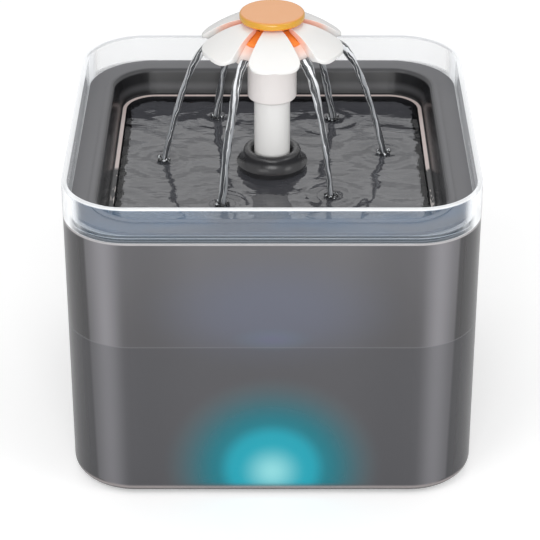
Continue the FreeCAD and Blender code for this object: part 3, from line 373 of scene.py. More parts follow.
def lamp_glow(sheet, z, level):
    """The lamp's teal glow, painted into the tank's front as emission, and its violet reflection at the water,
    painted the same way: mask, colour and strength.
    """
    teal = tuple(colours().glow)
    reach = sheet.distance(LAMP_GLOW)
    halo = reach.rise(50 * MM, 12 * MM)
    disc = reach.rise(46 * MM, 24 * MM)
    lit = reach.rise(25 * MM, 17 * MM)
    core = sheet.distance(LAMP_GLOW - Vector((0, 0, 1.5 * MM))).rise(16 * MM, 0)
    above_foot = z.rise(tank_low.z + 3 * MM, tank_low.z + 6.5 * MM)
    # the lamp's light reflected on the water, painted as a violet patch of emission
    violet_reflection = sheet.distance(Vector((0, tank_low.y, level + 4 * MM)), (0.5, 0.4, 1.5)).rise(10 * MM, 0)
    light = sheet.layered(teal, ((core, srgb(146, 220, 224)), (violet_reflection, srgb(84, 92, 176))))
    strength = (halo * 0.50 + lit * 0.30 + core * 0.1) * above_foot + violet_reflection * 0.09
    return disc * above_foot, light, strength.least(1)


def smoke_plastic():
    """Translucent smoke-grey plastic with painted shade and highlights at its corners, darker under the water
    inside, and the lamp's light painted on as a glow.
    """
    sheet = Finish("smoke_plastic", 0.2, IOR=CLEAR_PLASTIC_IOR)
    smoke = tuple(colours().smoke)
    level = sizes().tank_water
    x, y, z = sheet.axes()
    edge = sheet.facing()
    corner = sheet.corner()
    to_corner = abs(x).least(abs(y))
    blue = sheet.distance(Vector((0, tank_low.y, level + 18 * MM)), (0.55, 0.3, 1)).rise(34 * MM, 6 * MM)
    glow, light, strength = lamp_glow(sheet, z, level)
    # darker under the water inside; above it, painted light makes the plastic lighter towards the top
    body = sheet.mixed(z.rise(level, tank_high.z), shade(smoke, 0.80), shade(smoke, 1.12))
    body = sheet.layered(body, (
        # painted shade darkens the flat sides towards the corners and where the wall is seen edge on, and
        # painted highlights make each corner light between stripes of painted shade, with a pale edge
        (to_corner.band(54 * MM, 26 * MM) * 0.42, shade(smoke, 0.50)),
        (corner.band(0.36, 0.32) * 0.85, shade(smoke, 2.25)),
        (edge.rise(0.365, 0.40) * 0.86, shade(smoke, 0.26)),
        (corner.band(0.705, 0.02) * 0.5, shade(smoke, 0.2)),
        (edge.rise(0.86, 0.97) * 0.5, srgb(190, 190, 192)),
        # the water inside: a painted blue gleam above it, a darker wall below it, and its line
        (blue * 0.55, srgb(94, 99, 118)),
        (z.rise(level + 0.25 * MM, level - 0.25 * MM) * 0.36, srgb(60, 61, 66)),
        (z.band(level, 0.5 * MM) * 0.35, srgb(120, 120, 124)),
        (sheet.noise(40 * MM, 2) * 0.12, shade(smoke, 0.8)),
        # painted highlights as pale lines round the foot and the rim
        (z.band(tank_low.z + 3.4 * MM, 1.6 * MM) * 0.75, srgb(158, 150, 149)),
        (z.rise(tank_high.z - 1.0 * MM, tank_high.z - 0.5 * MM) * 0.8, srgb(178, 175, 176)),
        # the glow's own colour is light, so the plastic under it is dark
        (glow, shade(tuple(colours().glow), 0.06))))
    # the lamp's painted glow goes in as emission
    sheet.set({"Base Color": body, "Emission Color": sheet.mixed(strength, BLACK, light),
               "Emission Strength": 1.0, "Alpha": edge.rise(0.05, 0.5) * 0.05 + 0.94,
               "Roughness": sheet.noise(30 * MM, 2) * 0.06 + 0.2, "Coat Weight": 0.15, "Coat Roughness": 0.08})
    return sheet.bump(sheet.noise(60 * MM, 1), 0.3 * MM, 0.4)


def clear_plastic():
    """Clear plastic with a faint blue cast towards the front, painted shade and a painted highlight line at its
    lower step, a painted white highlight along its rim, and a painted pale reflection and glow where it is seen
    edge on.
    """
    sheet = Finish("clear_plastic", 0.05, IOR=CLEAR_PLASTIC_IOR)
    y, z = sheet.axes()[1:]
    edge = sheet.facing()
    cloud = sheet.noise(11 * MM, 2, stretch=(0.28, 0.28, 1.6)).rise(0.42, 0.62)
    back = y.rise(-70 * MM, 30 * MM)
    rim = z.rise(ring_high.z - 1.1 * MM, ring_high.z - 0.5 * MM)
    flange_shade = z.rise(FLANGE_TOP + 0.1 * MM, FLANGE_TOP - 0.4 * MM)
    flange_highlight = z.band(FLANGE_TOP + 0.1 * MM, 0.45 * MM)
    cast = sheet.mixed(cloud, srgb(184, 206, 232), srgb(146, 178, 212))
    cast = sheet.layered(cast, (
        (back, srgb(228, 231, 235)),
        # painted shade over the lower step, which has the dark gap behind it, and a painted highlight along its
        # top
        (flange_shade, srgb(96, 106, 116)),
        (flange_highlight, srgb(196, 203, 210)),
        # painted highlights: white along the rim, greyer at its back, and pale where the plastic turns edge on;
        # a painted grey line where it is seen quite edge on
        (rim, srgb(250, 251, 252)),
        (rim * back * 0.8, srgb(196, 199, 203)),
        (edge.rise(0.35, 0.6), srgb(244, 246, 248)),
        (edge.rise(0.84, 0.95) * 0.9, srgb(186, 191, 198))))
    cover = 0.07 + back * 0.09 + cloud * (1 - back) * 0.04 + edge.rise(0.44, 0.66) * 0.72
    cover = cover.most(rim * 0.75).most(flange_shade * 0.5).most(flange_highlight * 0.55)
    # a painted glow: emission where the plastic is seen edge on, standing in for light carried along its wall
    edge_glow = edge.rise(0.46, 0.66) * edge.rise(0.95, 0.82)
    sheet.set({"Base Color": cast, "Alpha": cover.least(1), "Roughness": cloud * 0.03 + 0.03,
               "Emission Color": sheet.mixed(edge_glow, BLACK, (0.26, 0.265, 0.27, 1)), "Emission Strength": 1.0})
    return sheet


def tray_plastic():
    """Dark satin plastic with painted shade down its inner walls, a painted highlight at their shoulder and a
    paler painted reflection low on them, darker under the water, and a pale painted reflection on the ledge with
    painted glints towards the front.
    """
    tray = Finish("tray_plastic", 0.34, **{"Specular IOR Level": 0.22})
    charcoal = tuple(colours().charcoal)
    x, y, z = tray.axes()
    cloud = tray.noise(18 * MM, 3)
    out = tray.from_middle(x, y)
    inside = out.rise(78.0 * MM, 74.4 * MM)
    low = z.rise(LEDGE_TOP + 0.6 * MM, LEDGE_TOP - 0.4 * MM)
    # the ledge's top carries a painted pale reflection at the back and painted glints towards the front
    ledge = z.band(LEDGE_TOP, 0.3 * MM) * tray.upward().rise(0.9, 0.98) * out.rise(60 * MM, 68 * MM)
    reflection_side = (y + (tray.noise(6 * MM, 1) - 0.5) * 12 * MM).rise(-9 * MM, -5 * MM)
    glints = tray.noise(3.4 * MM, 2, 0.6, (1.6, 0.35, 1)).rise(0.56, 0.64)
    wet_glints = tray.mixed(glints, srgb(48, 48, 50), srgb(196, 188, 184))
    body = tray.mixed(cloud, shade(charcoal, 0.96), shade(charcoal, 1.04))
    body = tray.layered(body, (
        # painted shade on the inner walls, a painted highlight at their shoulder and a paler painted reflection
        # low on them; darker under the water; then the ledge's painted reflection and glints
        (inside, srgb(28, 28, 30)),
        (z.band(RIM_TOP - 0.2 * MM, 1.0 * MM) * inside * 0.35, srgb(120, 120, 122)),
        (z.band(LEDGE_TOP + 3.8 * MM, 3.0 * MM) * inside, srgb(70, 70, 72)),
        (low, srgb(40, 40, 43)),
        (ledge * 0.95, tray.mixed(reflection_side, wet_glints, srgb(226, 210, 206)))))
    tray.set({"Base Color": body, "Roughness": cloud * 0.06 + 0.3 - inside * 0.1 - low * 0.1})
    return tray.bump(tray.noise(0.45 * MM, 2), 0.02 * MM, 0.3)


def new_piece(name, vertices, faces, finish, body, level=0):
    """A smooth piece on a body, rounded off by as many subdivisions as its level says."""
    mesh = bpy.data.meshes.new(name)
    mesh.from_pydata([tuple(vertex) for vertex in vertices], [], faces)
    mesh.validate()
    mesh.materials.append(finish.material)
    mesh.polygons.foreach_set("use_smooth", [True] * len(mesh.polygons))
    piece = bpy.data.objects.new(name, mesh)
    bpy.context.scene.collection.objects.link(piece)
    if level:
        rounding = piece.modifiers.new("rounding", "SUBSURF")
        rounding.levels = rounding.render_levels = level
    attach(piece, body)
    return piece


def grid_faces(rows, columns, start, closed=False):
    """Quads between rows of points; closed joins each row's ends."""
    faces = []
    wraps = columns if closed else columns - 1
    for row in range(rows - 1):
        for column in range(wraps):
            a = start + row * columns + column
            b = start + row * columns + (column + 1) % columns
            faces.append((a, b, b + columns, a + columns))
    return faces


def slab_faces(rows, columns, start=0):
    """A closed slab between two like grids of points, the upper one first."""
    count = rows * columns
    faces = grid_faces(rows, columns, start)
    faces += [face[::-1] for face in grid_faces(rows, columns, start + count)]
    edge = ([(0, c) for c in range(columns)] + [(r, columns - 1) for r in range(1, rows)]
            + [(rows - 1, c) for c in range(columns - 2, -1, -1)] + [(r, 0) for r in range(rows - 2, 0, -1)])
    ids = [start + r * columns + c for r, c in edge]
    for place, first in enumerate(ids):
        second = ids[(place + 1) % len(ids)]
        faces.append((second, first, first + count, second + count))
    return faces


def polar(radius, angle, height):
    return Vector((radius * math.cos(angle), radius * math.sin(angle), height))


def beside(along, out, side, height):
    """The point that far out along a level direction and that far to its side."""
    return Vector((along.x * out - along.y * side, along.y * out + along.x * side, height))


class Flower:
    """The shape of the petals and of the channels between them, in metres from the flower's axis."""

    turn = math.radians(2)
    top = petals_high.z

    # a petal: narrow and straight-sided from its root to its widest place, and round from there to its tip
    root = 10.0 * MM
    widest = 27.1 * MM
    tip = petals_high.y
    waist, waist_half = 13.0 * MM, 4.8 * MM
    spread = 0.4645
    half_width = 11.35 * MM
    tip_power = 2.5
    drop = 10.0 * MM
    bulge = 2.0 * MM
    # its middle stands over its sides by its crown, and at its root by a share of that
    crown, root_crown = 1.7 * MM, 0.3
    tip_half = 0.4 * MM
    under_width = 0.97
    thick = 1.4 * MM
    # how deep its sides hang, as pairs of a distance from the axis and a depth, in millimetres
    skirt = ((10, 2.6), (14, 3.2), (18, 4.2), (22, 6.2), (24.5, 6.6), (27, 3.0), (29, 1.9), (33, 1.8))
    skirt_start = 0.86
    steps = 8
    rows, columns = 2 * steps + 1, 13

    # a channel
    channel_inner, channel_outer = 15.0 * MM, 25.2 * MM
    channel_half, channel_spread = 2.9 * MM, 0.17
    channel_lip = 0.9 * MM
    channel_thick = 1.0 * MM
    channel_rows, channel_columns = 9, 7
    # its floor is level as far as its bend and falls from there; its depth and fall are in millimetres
    channel_bend, channel_run = 16 * MM, 9 * MM
    channel_depth, channel_fall, channel_power = 5.0, 6.6, 1.4

    @classmethod
    def height(cls, radius):
        """Height of a petal's ridge."""
        share = (radius - cls.root) / (cls.tip - cls.root)
        return cls.top - cls.drop * share + 4 * cls.bulge * share * (1 - share)

    @classmethod
    def width(cls, radius):
        """Half a petal's width."""
        if radius > cls.widest:
            share = min(1.0, (radius - cls.widest) / (cls.tip - cls.widest))
            return cls.half_width * (1 - share ** cls.tip_power) ** (1 / cls.tip_power)
        return cls.waist_half + cls.spread * (radius - cls.waist)

    @classmethod
    def flank(cls, radius):
        """How deep a petal's side hangs."""
        for (near, shallow), (far, deep) in zip(cls.skirt, cls.skirt[1:]):
            if radius <= far * MM:
                share = max(0.0, (radius / MM - near) / (far - near))
                return (shallow + (deep - shallow) * share) * MM
        return cls.thick

    @classmethod
    def channel(cls, radius):
        """Height of a channel's floor: level at first, then falling to its mouth."""
        share = max(0.0, (radius - cls.channel_bend) / cls.channel_run)
        return cls.top - (cls.channel_depth + cls.channel_fall * share ** cls.channel_power) * MM


def petal_points(turn, under):
    """Rows of points over one petal, from its root to its tip; under is its lower face."""
    shares = [step / Flower.steps for step in range(Flower.steps + 1)]
    reaches = [Flower.root + (Flower.widest - Flower.root) * share for share in shares]
    reaches += [Flower.widest + (Flower.tip - Flower.widest) * math.sin(math.pi / 2 * share)
                for share in shares[1:]]
    along = polar(1, turn, 0)
    points = []
    for out in reaches:
        half = max(Flower.width(out), Flower.tip_half)
        share = (out - Flower.root) / (Flower.tip - Flower.root)
        crown = Flower.crown * (Flower.root_crown + (1 - Flower.root_crown) * share)
        for column in range(Flower.columns):
            across = math.sin(math.pi / 2 * (2 * column / (Flower.columns - 1) - 1))
            side = half * across
            height = Flower.height(out) - crown * (side / Flower.half_width) ** 2
            if under:
                hang = max(0.0, (abs(across) - Flower.skirt_start) / (1 - Flower.skirt_start))
                height -= Flower.thick + (Flower.flank(out) - Flower.thick) * hang
                side *= Flower.under_width
            points.append(beside(along, out, side, height))
    return points


def build_petals(finish):
    vertices, faces = [], []
    for number in range(PETALS):
        turn = FRONT + Flower.turn + number * PETAL_STEP
        start = len(vertices)
        vertices += petal_points(turn, False) + petal_points(turn, True)
        faces += slab_faces(Flower.rows, Flower.columns, start)
    return new_piece("flower_bloom", vertices, faces, finish, "flower", level=2)


def build_channels(finish):
    """The six troughs between the petals, which carry the water to their mouths."""
    rows, columns = Flower.channel_rows, Flower.channel_columns
    vertices, faces = [], []
    for number in range(PETALS):
        along = polar(1, FRONT + Flower.turn + (number + 0.5) * PETAL_STEP, 0)
        start = len(vertices)
        for sink in (0, Flower.channel_thick):
            for row in range(rows):
                out = Flower.channel_inner + (Flower.channel_outer - Flower.channel_inner) * row / (rows - 1)
                half = Flower.channel_half + Flower.channel_spread * (out - Flower.waist)
                for column in range(columns):
                    across = 2 * column / (columns - 1) - 1
                    height = Flower.channel(out) + Flower.channel_lip * across ** 2 - sink
                    vertices.append(beside(along, out, half * across, height))
        faces += slab_faces(rows, columns, start)
    return new_piece("flower_channels", vertices, faces, finish, "flower", level=1)


def turned(name, section, finish, body):
    """A closed ring turned round the Z axis from its section of radius and height."""
    steps, count = 64, len(section)
    vertices = [polar(radius, 2 * math.pi * step / steps, height)
                for step in range(steps) for radius, height in section]
    faces = []
    for step in range(steps):
        here, after = step * count, (step + 1) % steps * count
        for place in range(count):
            above = (place + 1) % count
            faces.append((here + place, after + place, after + above, here + above))
    return new_piece(name, vertices, faces, finish, body)


def build_neck(finish):
    """The flower's own neck: it goes on from the sleeve's outside and flares out under the petals."""
    outer = sleeve_high.x
    inner = outer - 2.0 * MM
    flare = 17 * MM
    low = petals_low.z
    top = Flower.top - 9.0 * MM
    ease = 0.4 * MM
    section = [(inner, low), (outer - ease, low), (outer, low + ease), (outer, top - 2 * MM),
               (outer + 1.4 * MM, top - 0.6 * MM), (flare, top + 1.6 * MM), (flare, top + 2.4 * MM),
               (inner, top + 2.4 * MM)]
    return turned("flower_neck", section, finish, "flower")


def flower_white():
    """White gloss plastic, with a painted pink reflection of the orange hub on the flanks that face it."""
    white = tuple(colours().white)
    petal = Finish("flower_white", 0.22, **{"Coat Weight": 0.25, "Subsurface Weight": 0.05,
                                            "Subsurface Radius": (0.004, 0.003, 0.0025)})
    cloud = petal.noise(9 * MM, 2)
    height = petal.axes()[2]
    # a painted pink reflection of the orange hub on the flanks that face it
    flank = petal.upward().rise(0.55, 0.25) * petal.from_axis().rise(26.5 * MM, 21 * MM)
    flank = flank * height.rise(Flower.top - 12 * MM, Flower.top - 10 * MM)
    body = petal.mixed(cloud, shade(white, 0.90), shade(white, 0.93))
    petal.set({"Base Color": petal.mixed(flank * 0.85, body, srgb(240, 196, 178)),
               "Roughness": cloud * 0.08 + 0.2})
    return petal.bump(petal.noise(2 * MM, 2), 0.02 * MM, 0.2)


def channel_white():
    """The channels' white plastic: orange at the hub, then a pink band painted as the hub's reflection, then
    white.
    """
    tint = Finish("channel_white", 0.15)
    out = tint.from_axis()
    body = tint.layered(tuple(colours().orange), (
        # after the orange at the hub, a pink band painted as the hub's reflection
        (out.rise(18.4 * MM, 18.9 * MM), srgb(244, 206, 190)),
        (out.rise(19 * MM, 24 * MM), srgb(238, 228, 224))))
    tint.set({"Base Color": body, "Roughness": tint.noise(4 * MM, 2) * 0.1 + 0.12})
    return tint.bump(tint.noise(3 * MM, 2), 0.1 * MM, 0.4)


def cap_orange():
    """Orange gloss plastic with painted light: paler and peach on top, deeper and yellower round the side, and
    its own orange underneath.
    """
    cap = Finish("cap_orange", 0.12, **{"Coat Weight": 0.15, "Coat Roughness": 0.04})
    up = cap.upward()
    cloud = cap.noise(8 * MM, 2)
    # painted light: the top paler and peach, the side deeper and yellower; the underside keeps the plain orange
    body = cap.mixed(up.rise(0.55, 0.98), srgb(202, 152, 30), srgb(230, 156, 84))
    body = cap.layered(body, (
        (cloud * 0.3, srgb(222, 146, 72)),
        (up.rise(-0.2, -0.6), tuple(colours().orange))))
    cap.set({"Base Color": body, "Roughness": cloud * 0.08 + 0.1})
    return cap.bump(cloud, 0.05 * MM, 0.15)


def water_points():
    """For each of the six streams, its channel's direction and where it lands in the tray."""
    landings = ((-22.1, -38.0), (26.3, -30.1), (51.7, 12.8), (29.0, 48.0), (-26.3, 49.6), (-49.4, 5.4))
    places = []
    for x, y in landings:
        # channels lie midway between petals, so their numbers end in a half
        number = round((math.atan2(y, x) - FRONT) / PETAL_STEP - 0.5) + 0.5
        places.append((FRONT + Flower.turn + number * PETAL_STEP,
                       Vector((x * MM, y * MM, sizes().tray_water))))
    return places


def falling_water():
    """Falling water, seen as it looks over the dark tray: dark streaks, and white streaks and glints painted as
    reflections of the bright studio.
    """
    water = Finish("falling_water", 0.04, IOR=WATER_IOR, **{"Coat Weight": 0.5, "Coat Roughness": 0.02})
    around, down = water.along()
    wander = water.noise(7 * MM, 2, stretch=(1, 1, 0.45))
    fine = water.noise(2.2 * MM, 2, stretch=(1, 1, 0.2))
    streak = (around * 6 * math.pi + wander * 7 + down * 2).sine() + (fine - 0.5) * 1.5
    glint = (around * 10 * math.pi + wander * 9 + fine * 4).sine().rise(0.93, 0.99)
    lower = down.rise(0.2, 0.5)
    dark = water.mixed(lower, srgb(50, 52, 55), srgb(74, 76, 79))
    light = water.mixed(lower, srgb(240, 242, 245), srgb(160, 163, 167))
    # dark streaks for the dark tray seen through; white streaks and glints are painted reflections of the studio
    body = water.layered(water.mixed(streak.rise(0.25, 0.55), dark, light), (
        (streak.band(-0.45, 0.5) * 0.55, srgb(112, 115, 119)),
        (glint, srgb(244, 246, 248))))
    water.set({"Base Color": body, "Alpha": streak.band(-0.7, 0.5) * -0.30 + 0.95})
    return water.bump(fine, 0.2 * MM, 0.3)


def bead_water():
    """Beads of water over the dark tray: dark, with bright glints."""
    water = Finish("bead_water", 0.02, IOR=WATER_IOR, **{"Coat Weight": 0.6, "Coat Roughness": 0.02})
    spot = water.noise(0.9 * MM, 1)
    water.patterned(spot.rise(0.56, 0.62), srgb(34, 35, 37), srgb(236, 240, 243))
    return water.set({"Alpha": spot * 0.1 + 0.88})


def build_streams(finish):
    """Six falling ribbons of water, wide at the flower and narrower where they land."""
    rows, columns = 44, 16
    # a stream falls in a parabola from its apex, and shows from the channel's mouth on
    apex_radius, mouth_radius = 23.6 * MM, 24.2 * MM
    apex_height = Flower.top - 9.8 * MM
    narrowing = 0.3
    draws = random.Random(7)
    for number, (channel, land) in enumerate(water_points()):
        apex = polar(apex_radius, channel, apex_height)
        heading = land - apex
        heading.z = 0
        heading.normalize()
        side = Vector((-heading.y, heading.x, 0))
        mouth = (mouth_radius - apex_radius) / (math.hypot(land.x, land.y) - apex_radius)
        phase = draws.uniform(0, 6.0)
        vertices = []
        for row in range(rows):
            share = row / (rows - 1)
            out = mouth + (1 - mouth) * share ** 0.75
            middle = apex.lerp(land, out)
            middle.z = apex.z + (land.z - apex.z) * out * out - 0.6 * MM * share
            # on its way down the ribbon narrows, wobbles in width, twists and wanders
            half = sizes().stream_width / 2 * (1 - narrowing * min(1, share * 2.5))
            half *= 1 + 0.09 * math.sin(share * 19 + phase) + 0.05 * math.sin(share * 41 + 2 * phase)
            twist = 0.7 * math.sin(share * 4 + phase)
            wander = 0.3 * MM * math.sin(share * 9 + phase * 2) * share
            for column in range(columns):
                angle = 2 * math.pi * column / columns
                across = half * (1 + 0.2 * math.cos(2 * angle)) * math.cos(angle)
                deep = half * 0.9 * math.sin(angle)
                broad = across * math.cos(twist) - deep * math.sin(twist)
                thin = across * math.sin(twist) + deep * math.cos(twist)
                vertices.append(middle + side * (broad + wander) + heading * thin * 0.9
                                + Vector((0, 0, thin * 0.45)))
        faces = [face[::-1] for face in grid_faces(rows, columns, 0, closed=True)]
        faces.append(tuple(range(columns)))
        faces.append(tuple(reversed(range((rows - 1) * columns, rows * columns))))
        stream = new_piece("water_stream_%d" % (number + 1), vertices, faces, finish, "tray")
        unwrap_tube(stream.data, rows, columns)
        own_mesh(stream)


def unwrap_tube(mesh, rows, columns):
    """Lays a tube's surface out flat: round it along U, down it along V."""
    layer = mesh.uv_layers.new(name="round_and_along")
    for face in mesh.polygons:
        points = [divmod(mesh.loops[corner].vertex_index, columns) for corner in face.loop_indices]
        at_seam = max(column for row, column in points) == columns - 1
        for corner, (row, column) in zip(face.loop_indices, points):
            # a face over the seam ends at the next turn's first column
            turned_to = columns if column == 0 and at_seam else column
            layer.data[corner].uv = (turned_to / columns, row / (rows - 1))


def rounded_square(u, v, half, corner):
    """Maps a point of the square -1..1 into a square with rounded corners."""
    longest = max(abs(u), abs(v))
    if longest < 1e-6:
        return 0.0, 0.0
    du, dv = abs(u) / longest, abs(v) / longest
    flat = half - corner
    reach = 1.0
    if min(du, dv) * half > flat:
        # the ray through this point meets the corner's arc
        a = du * du + dv * dv
        b = -2 * flat * (du + dv)
        c = 2 * flat * flat - corner * corner
        reach = (-b + math.sqrt(b * b - 4 * a * c)) / (2 * a) / half
    return u * half * reach, v * half * reach


def ripple(x, y, places):
    """Height of the tray's surface over its level: broad soft waves, and rings round the landings."""
    height = 0.07 * MM * math.sin(y * 430 + 2.2 * math.sin(x * 95) + 1.1 * math.sin(x * 240 + 1))
    height += 0.10 * MM * math.sin(y * 210 + x * 120 + 1.6 * math.sin(x * 150 + 2) + 2)
    height += 0.07 * MM * math.sin(x * 260 + 2.0 * math.sin(y * 170))
    ring_step, fade = 6.6 * MM, 7.5 * MM
    for _, land in places:
        away = math.hypot(x - land.x, y - land.y)
        height += sizes().ripple_height * math.cos(away * 2 * math.pi / ring_step) * math.exp(-away / fade)
    return height


def block_of_water(name, half, corner, low, level, steps, wave, finish, body):
    """A closed body of water whose surface stands over its level by its wave."""
    surface, bottom = [], []
    for row in range(steps + 1):
        for column in range(steps + 1):
            x, y = rounded_square(2 * column / steps - 1, 2 * row / steps - 1, half, corner)
            surface.append((x, y, level + wave(x, y)))
            bottom.append((x, y, low))
    return new_piece(name, surface + bottom, slab_faces(steps + 1, steps + 1), finish, body)


def pool_water():
    """Rippled water over the dark tray: grey and glossy, with a painted dark reflection of the walls wavering
    along them.
    """
    pool = Finish("pool_water", 0.02, IOR=1.6)
    x, y = pool.axes()[:2]
    cloud = pool.noise(26 * MM, 3, stretch=(1, 2.0, 1))
    waver = (pool.noise(6 * MM, 3, 0.6) - 0.5) * 7 * MM
    # a painted reflection: the dark walls mirrored in a wavering band along them
    wall_reflection = (pool.from_middle(x, y) + waver).rise(
        sizes().basin_half - 3.4 * MM, sizes().basin_half - 2.9 * MM)
    body = pool.mixed(cloud, srgb(62, 63, 68), srgb(88, 89, 94))
    pool.set({"Base Color": pool.mixed(wall_reflection * 0.85, body, srgb(30, 30, 33)), "Alpha": 0.9 - wall_reflection * 0.62})
    return pool.bump(pool.noise(13 * MM, 3, 0.5, (0.7, 1.7, 1)), 1.0 * MM, 0.4)


def tank_water():
    """Still water in the tank, seen through its wall and from above."""
    tank = Finish("tank_water", 0.02, IOR=WATER_IOR, Alpha=0.35)
    return tank.patterned(tank.noise(30 * MM, 2), srgb(120, 140, 150), srgb(150, 165, 172), 0.6 * MM, 0.4)


def build_drops(finish):
    """A low crown of beads thrown up where each stream lands."""
    draws = random.Random(11)
    vertices, faces = [], []
    beads, rings, around = 12, 5, 8
    for _, land in water_points():
        for bead in range(beads):
            angle = 2 * math.pi * (bead + draws.uniform(-0.25, 0.25)) / beads
            away = draws.uniform(1.6, 3.1) * MM
            size = draws.uniform(0.45, 0.85) * MM
            middle = land + polar(away, angle, draws.uniform(0.1, 0.9) * MM)
            start = len(vertices)
            for ring in range(1, rings):
                tilt = math.pi * ring / rings
                for step in range(around):
                    turn = 2 * math.pi * step / around
                    vertices.append(middle + polar(size * 1.25 * math.sin(tilt), turn, size * math.cos(tilt)))
            faces += [face[::-1] for face in grid_faces(rings - 1, around, start, closed=True)]
            vertices += [middle + Vector((0, 0, size)), middle - Vector((0, 0, size))]
            top, bottom = len(vertices) - 2, len(vertices) - 1
            last = start + (rings - 2) * around
            for step in range(around):
                after = (step + 1) % around
                faces.append((top, start + step, start + after))
                faces.append((bottom, last + after, last + step))
    return new_piece("splash_beads", vertices, faces, finish, "tray")


class FountainStep:
    """What the fountain's operators share."""

    bl_options = {"REGISTER"}


class FOUNTAIN_OT_shells(FountainStep, bpy.types.Operator):
    """Finishes the tank, the splash ring, the tray and the feet"""

    bl_idname = "fountain.shells"
    bl_label = "Tank, Ring and Tray"

    def execute(self, context):
        dress(smoke_plastic(), "tank")
        dress(clear_plastic(), "splash_ring")
        dress(tray_plastic(), "tray")
        dress(moulded("clear_silicone", srgb(205, 208, 210), 0.5, grain=0.4), "anti_slip_feet", "suction_cups")
        return {"FINISHED"}


class FOUNTAIN_OT_riser(FountainStep, bpy.types.Operator):
    """Finishes the riser tube, the sleeve, the collar and the grommet"""

    bl_idname = "fountain.riser"
    bl_label = "Riser and Collar"

    def execute(self, context):
        white = tuple(colours().white)
        dress(moulded("riser_white", white, 0.3, grain=0.15, mottle=0.02), "riser_tube")
        # the sleeve's faintly pink white is painted shade
        dress(moulded("sleeve_white", srgb(242, 237, 235), 0.32, grain=0.15, mottle=0.02), "spout_sleeve")
        # the collar is the tray's dark grey plastic, painted darker as shade on its upright sides
        dress(moulded("collar_charcoal", srgb(50, 50, 52), 0.27, grain=0.1), "riser_collar")
        dress(moulded("black_silicone", srgb(38, 38, 39), 0.55, grain=0.4), "riser_seal", "nozzle_oring",
              "shaft_bushes", "cord_gland")
        return {"FINISHED"}


class FOUNTAIN_OT_flower(FountainStep, bpy.types.Operator):
    """Models the petals and channels, and finishes the hub and the cap"""

    bl_idname = "fountain.flower"
    bl_label = "Flower"

    def execute(self, context):
        white = flower_white()
        bloom = build_petals(white)
        build_channels(channel_white())
        build_neck(white)
        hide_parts("flower_petals")
        orange = tuple(colours().orange)
        hub = moulded("hub_orange", orange, 0.3, grain=0.1)
        # a faint painted glow: emission that stands in for light through the orange plastic
        hub.set({"Emission Color": orange, "Emission Strength": 0.18})
        dress(hub, "flower_hub")
        dress(cap_orange(), "flower_cap")
        return {"FINISHED"}


class FOUNTAIN_OT_water(FountainStep, bpy.types.Operator):
    """Fills the tray and the tank and lets the six streams fall"""

    bl_idname = "fountain.water"
    bl_label = "Water"

    def execute(self, context):
        size = sizes()
        places = water_points()
        block_of_water("tray_water", half=size.basin_half, corner=size.basin_corner,
                       low=size.tray_water - 9 * MM, level=size.tray_water, steps=170,
                       wave=lambda x, y: ripple(x, y, places), finish=pool_water(), body="tray")
        build_streams(falling_water())
        build_drops(bead_water())
        block_of_water("tank_water", half=tank_high.x - 2.9 * MM, corner=26.1 * MM, low=7.2 * MM,
                       level=size.tank_water, steps=60, wave=lambda x, y: 0.0, finish=tank_water(), body="base")
        return {"FINISHED"}


class FOUNTAIN_OT_lamp(FountainStep, bpy.types.Operator):
    """Finishes the floor lamp: housing, board, light chips and lens"""

    bl_idname = "fountain.lamp"
    bl_label = "Lamp"

    def execute(self, context):
        glow = tuple(colours().glow)
        dress(moulded("lamp_black", srgb(44, 44, 46), 0.4), "lamp_housing")
        board = Finish("lamp_board", 0.45)
        tracks = board.waves(1.3 * MM, "X", "SAW").rise(0.8, 0.9)
        dress(board.patterned(tracks, srgb(226, 228, 224), srgb(180, 186, 176)), "lamp_board")
        chips = Finish("light_chips", 0.3, **{"Emission Color": glow, "Emission Strength": 3.0})
        dress(chips.patterned(chips.noise(0.8 * MM, 1), srgb(180, 240, 240), WHITE), "light_chips")
        lens = Finish("lamp_lens", 0.12, IOR=CLEAR_PLASTIC_IOR, Alpha=0.55,
                      **{"Emission Color": glow, "Emission Strength": 0.8})
        frost = lens.noise(0.7 * MM, 2)
        dress(lens.patterned(frost, srgb(170, 226, 230), srgb(230, 246, 247), 0.05 * MM, 0.5), "lamp_lens")
        return {"FINISHED"}


class FOUNTAIN_OT_filter(FountainStep, bpy.types.Operator):
    """Finishes the filter basket and the cartridge in it"""

    bl_idname = "fountain.filter"
    bl_label = "Filter"

    def execute(self, context):
        dress(moulded("basket_grey", srgb(104, 104, 106), 0.42, grain=0.3), "filter_basket")
        dress(moulded("case_white", srgb(232, 232, 229), 0.45, grain=0.3), "filter_case")
        for name, dark, light, size in (("carbon_bed", srgb(18, 18, 19), srgb(52, 52, 54), 1.4 * MM),
                                        ("resin_bed", srgb(172, 120, 48), srgb(224, 180, 100), 0.9 * MM)):
            bed = Finish(name, 0.5)
            tint, away = bed.cells(size)
            bed.patterned(tint, dark, light)
            dress(bed.bump(1 - away, 0.5 * MM, 0.9), name)
        fleece = Finish("filter_fleece", 0.95, **{"Sheen Weight": 0.4})
        fibres = fleece.noise(0.5 * MM, 5, 0.7, (1, 4, 1))
        dress(fleece.patterned(fibres, srgb(222, 221, 214), srgb(246, 246, 242), 0.3 * MM, 0.8), "filter_fleece")
        return {"FINISHED"}


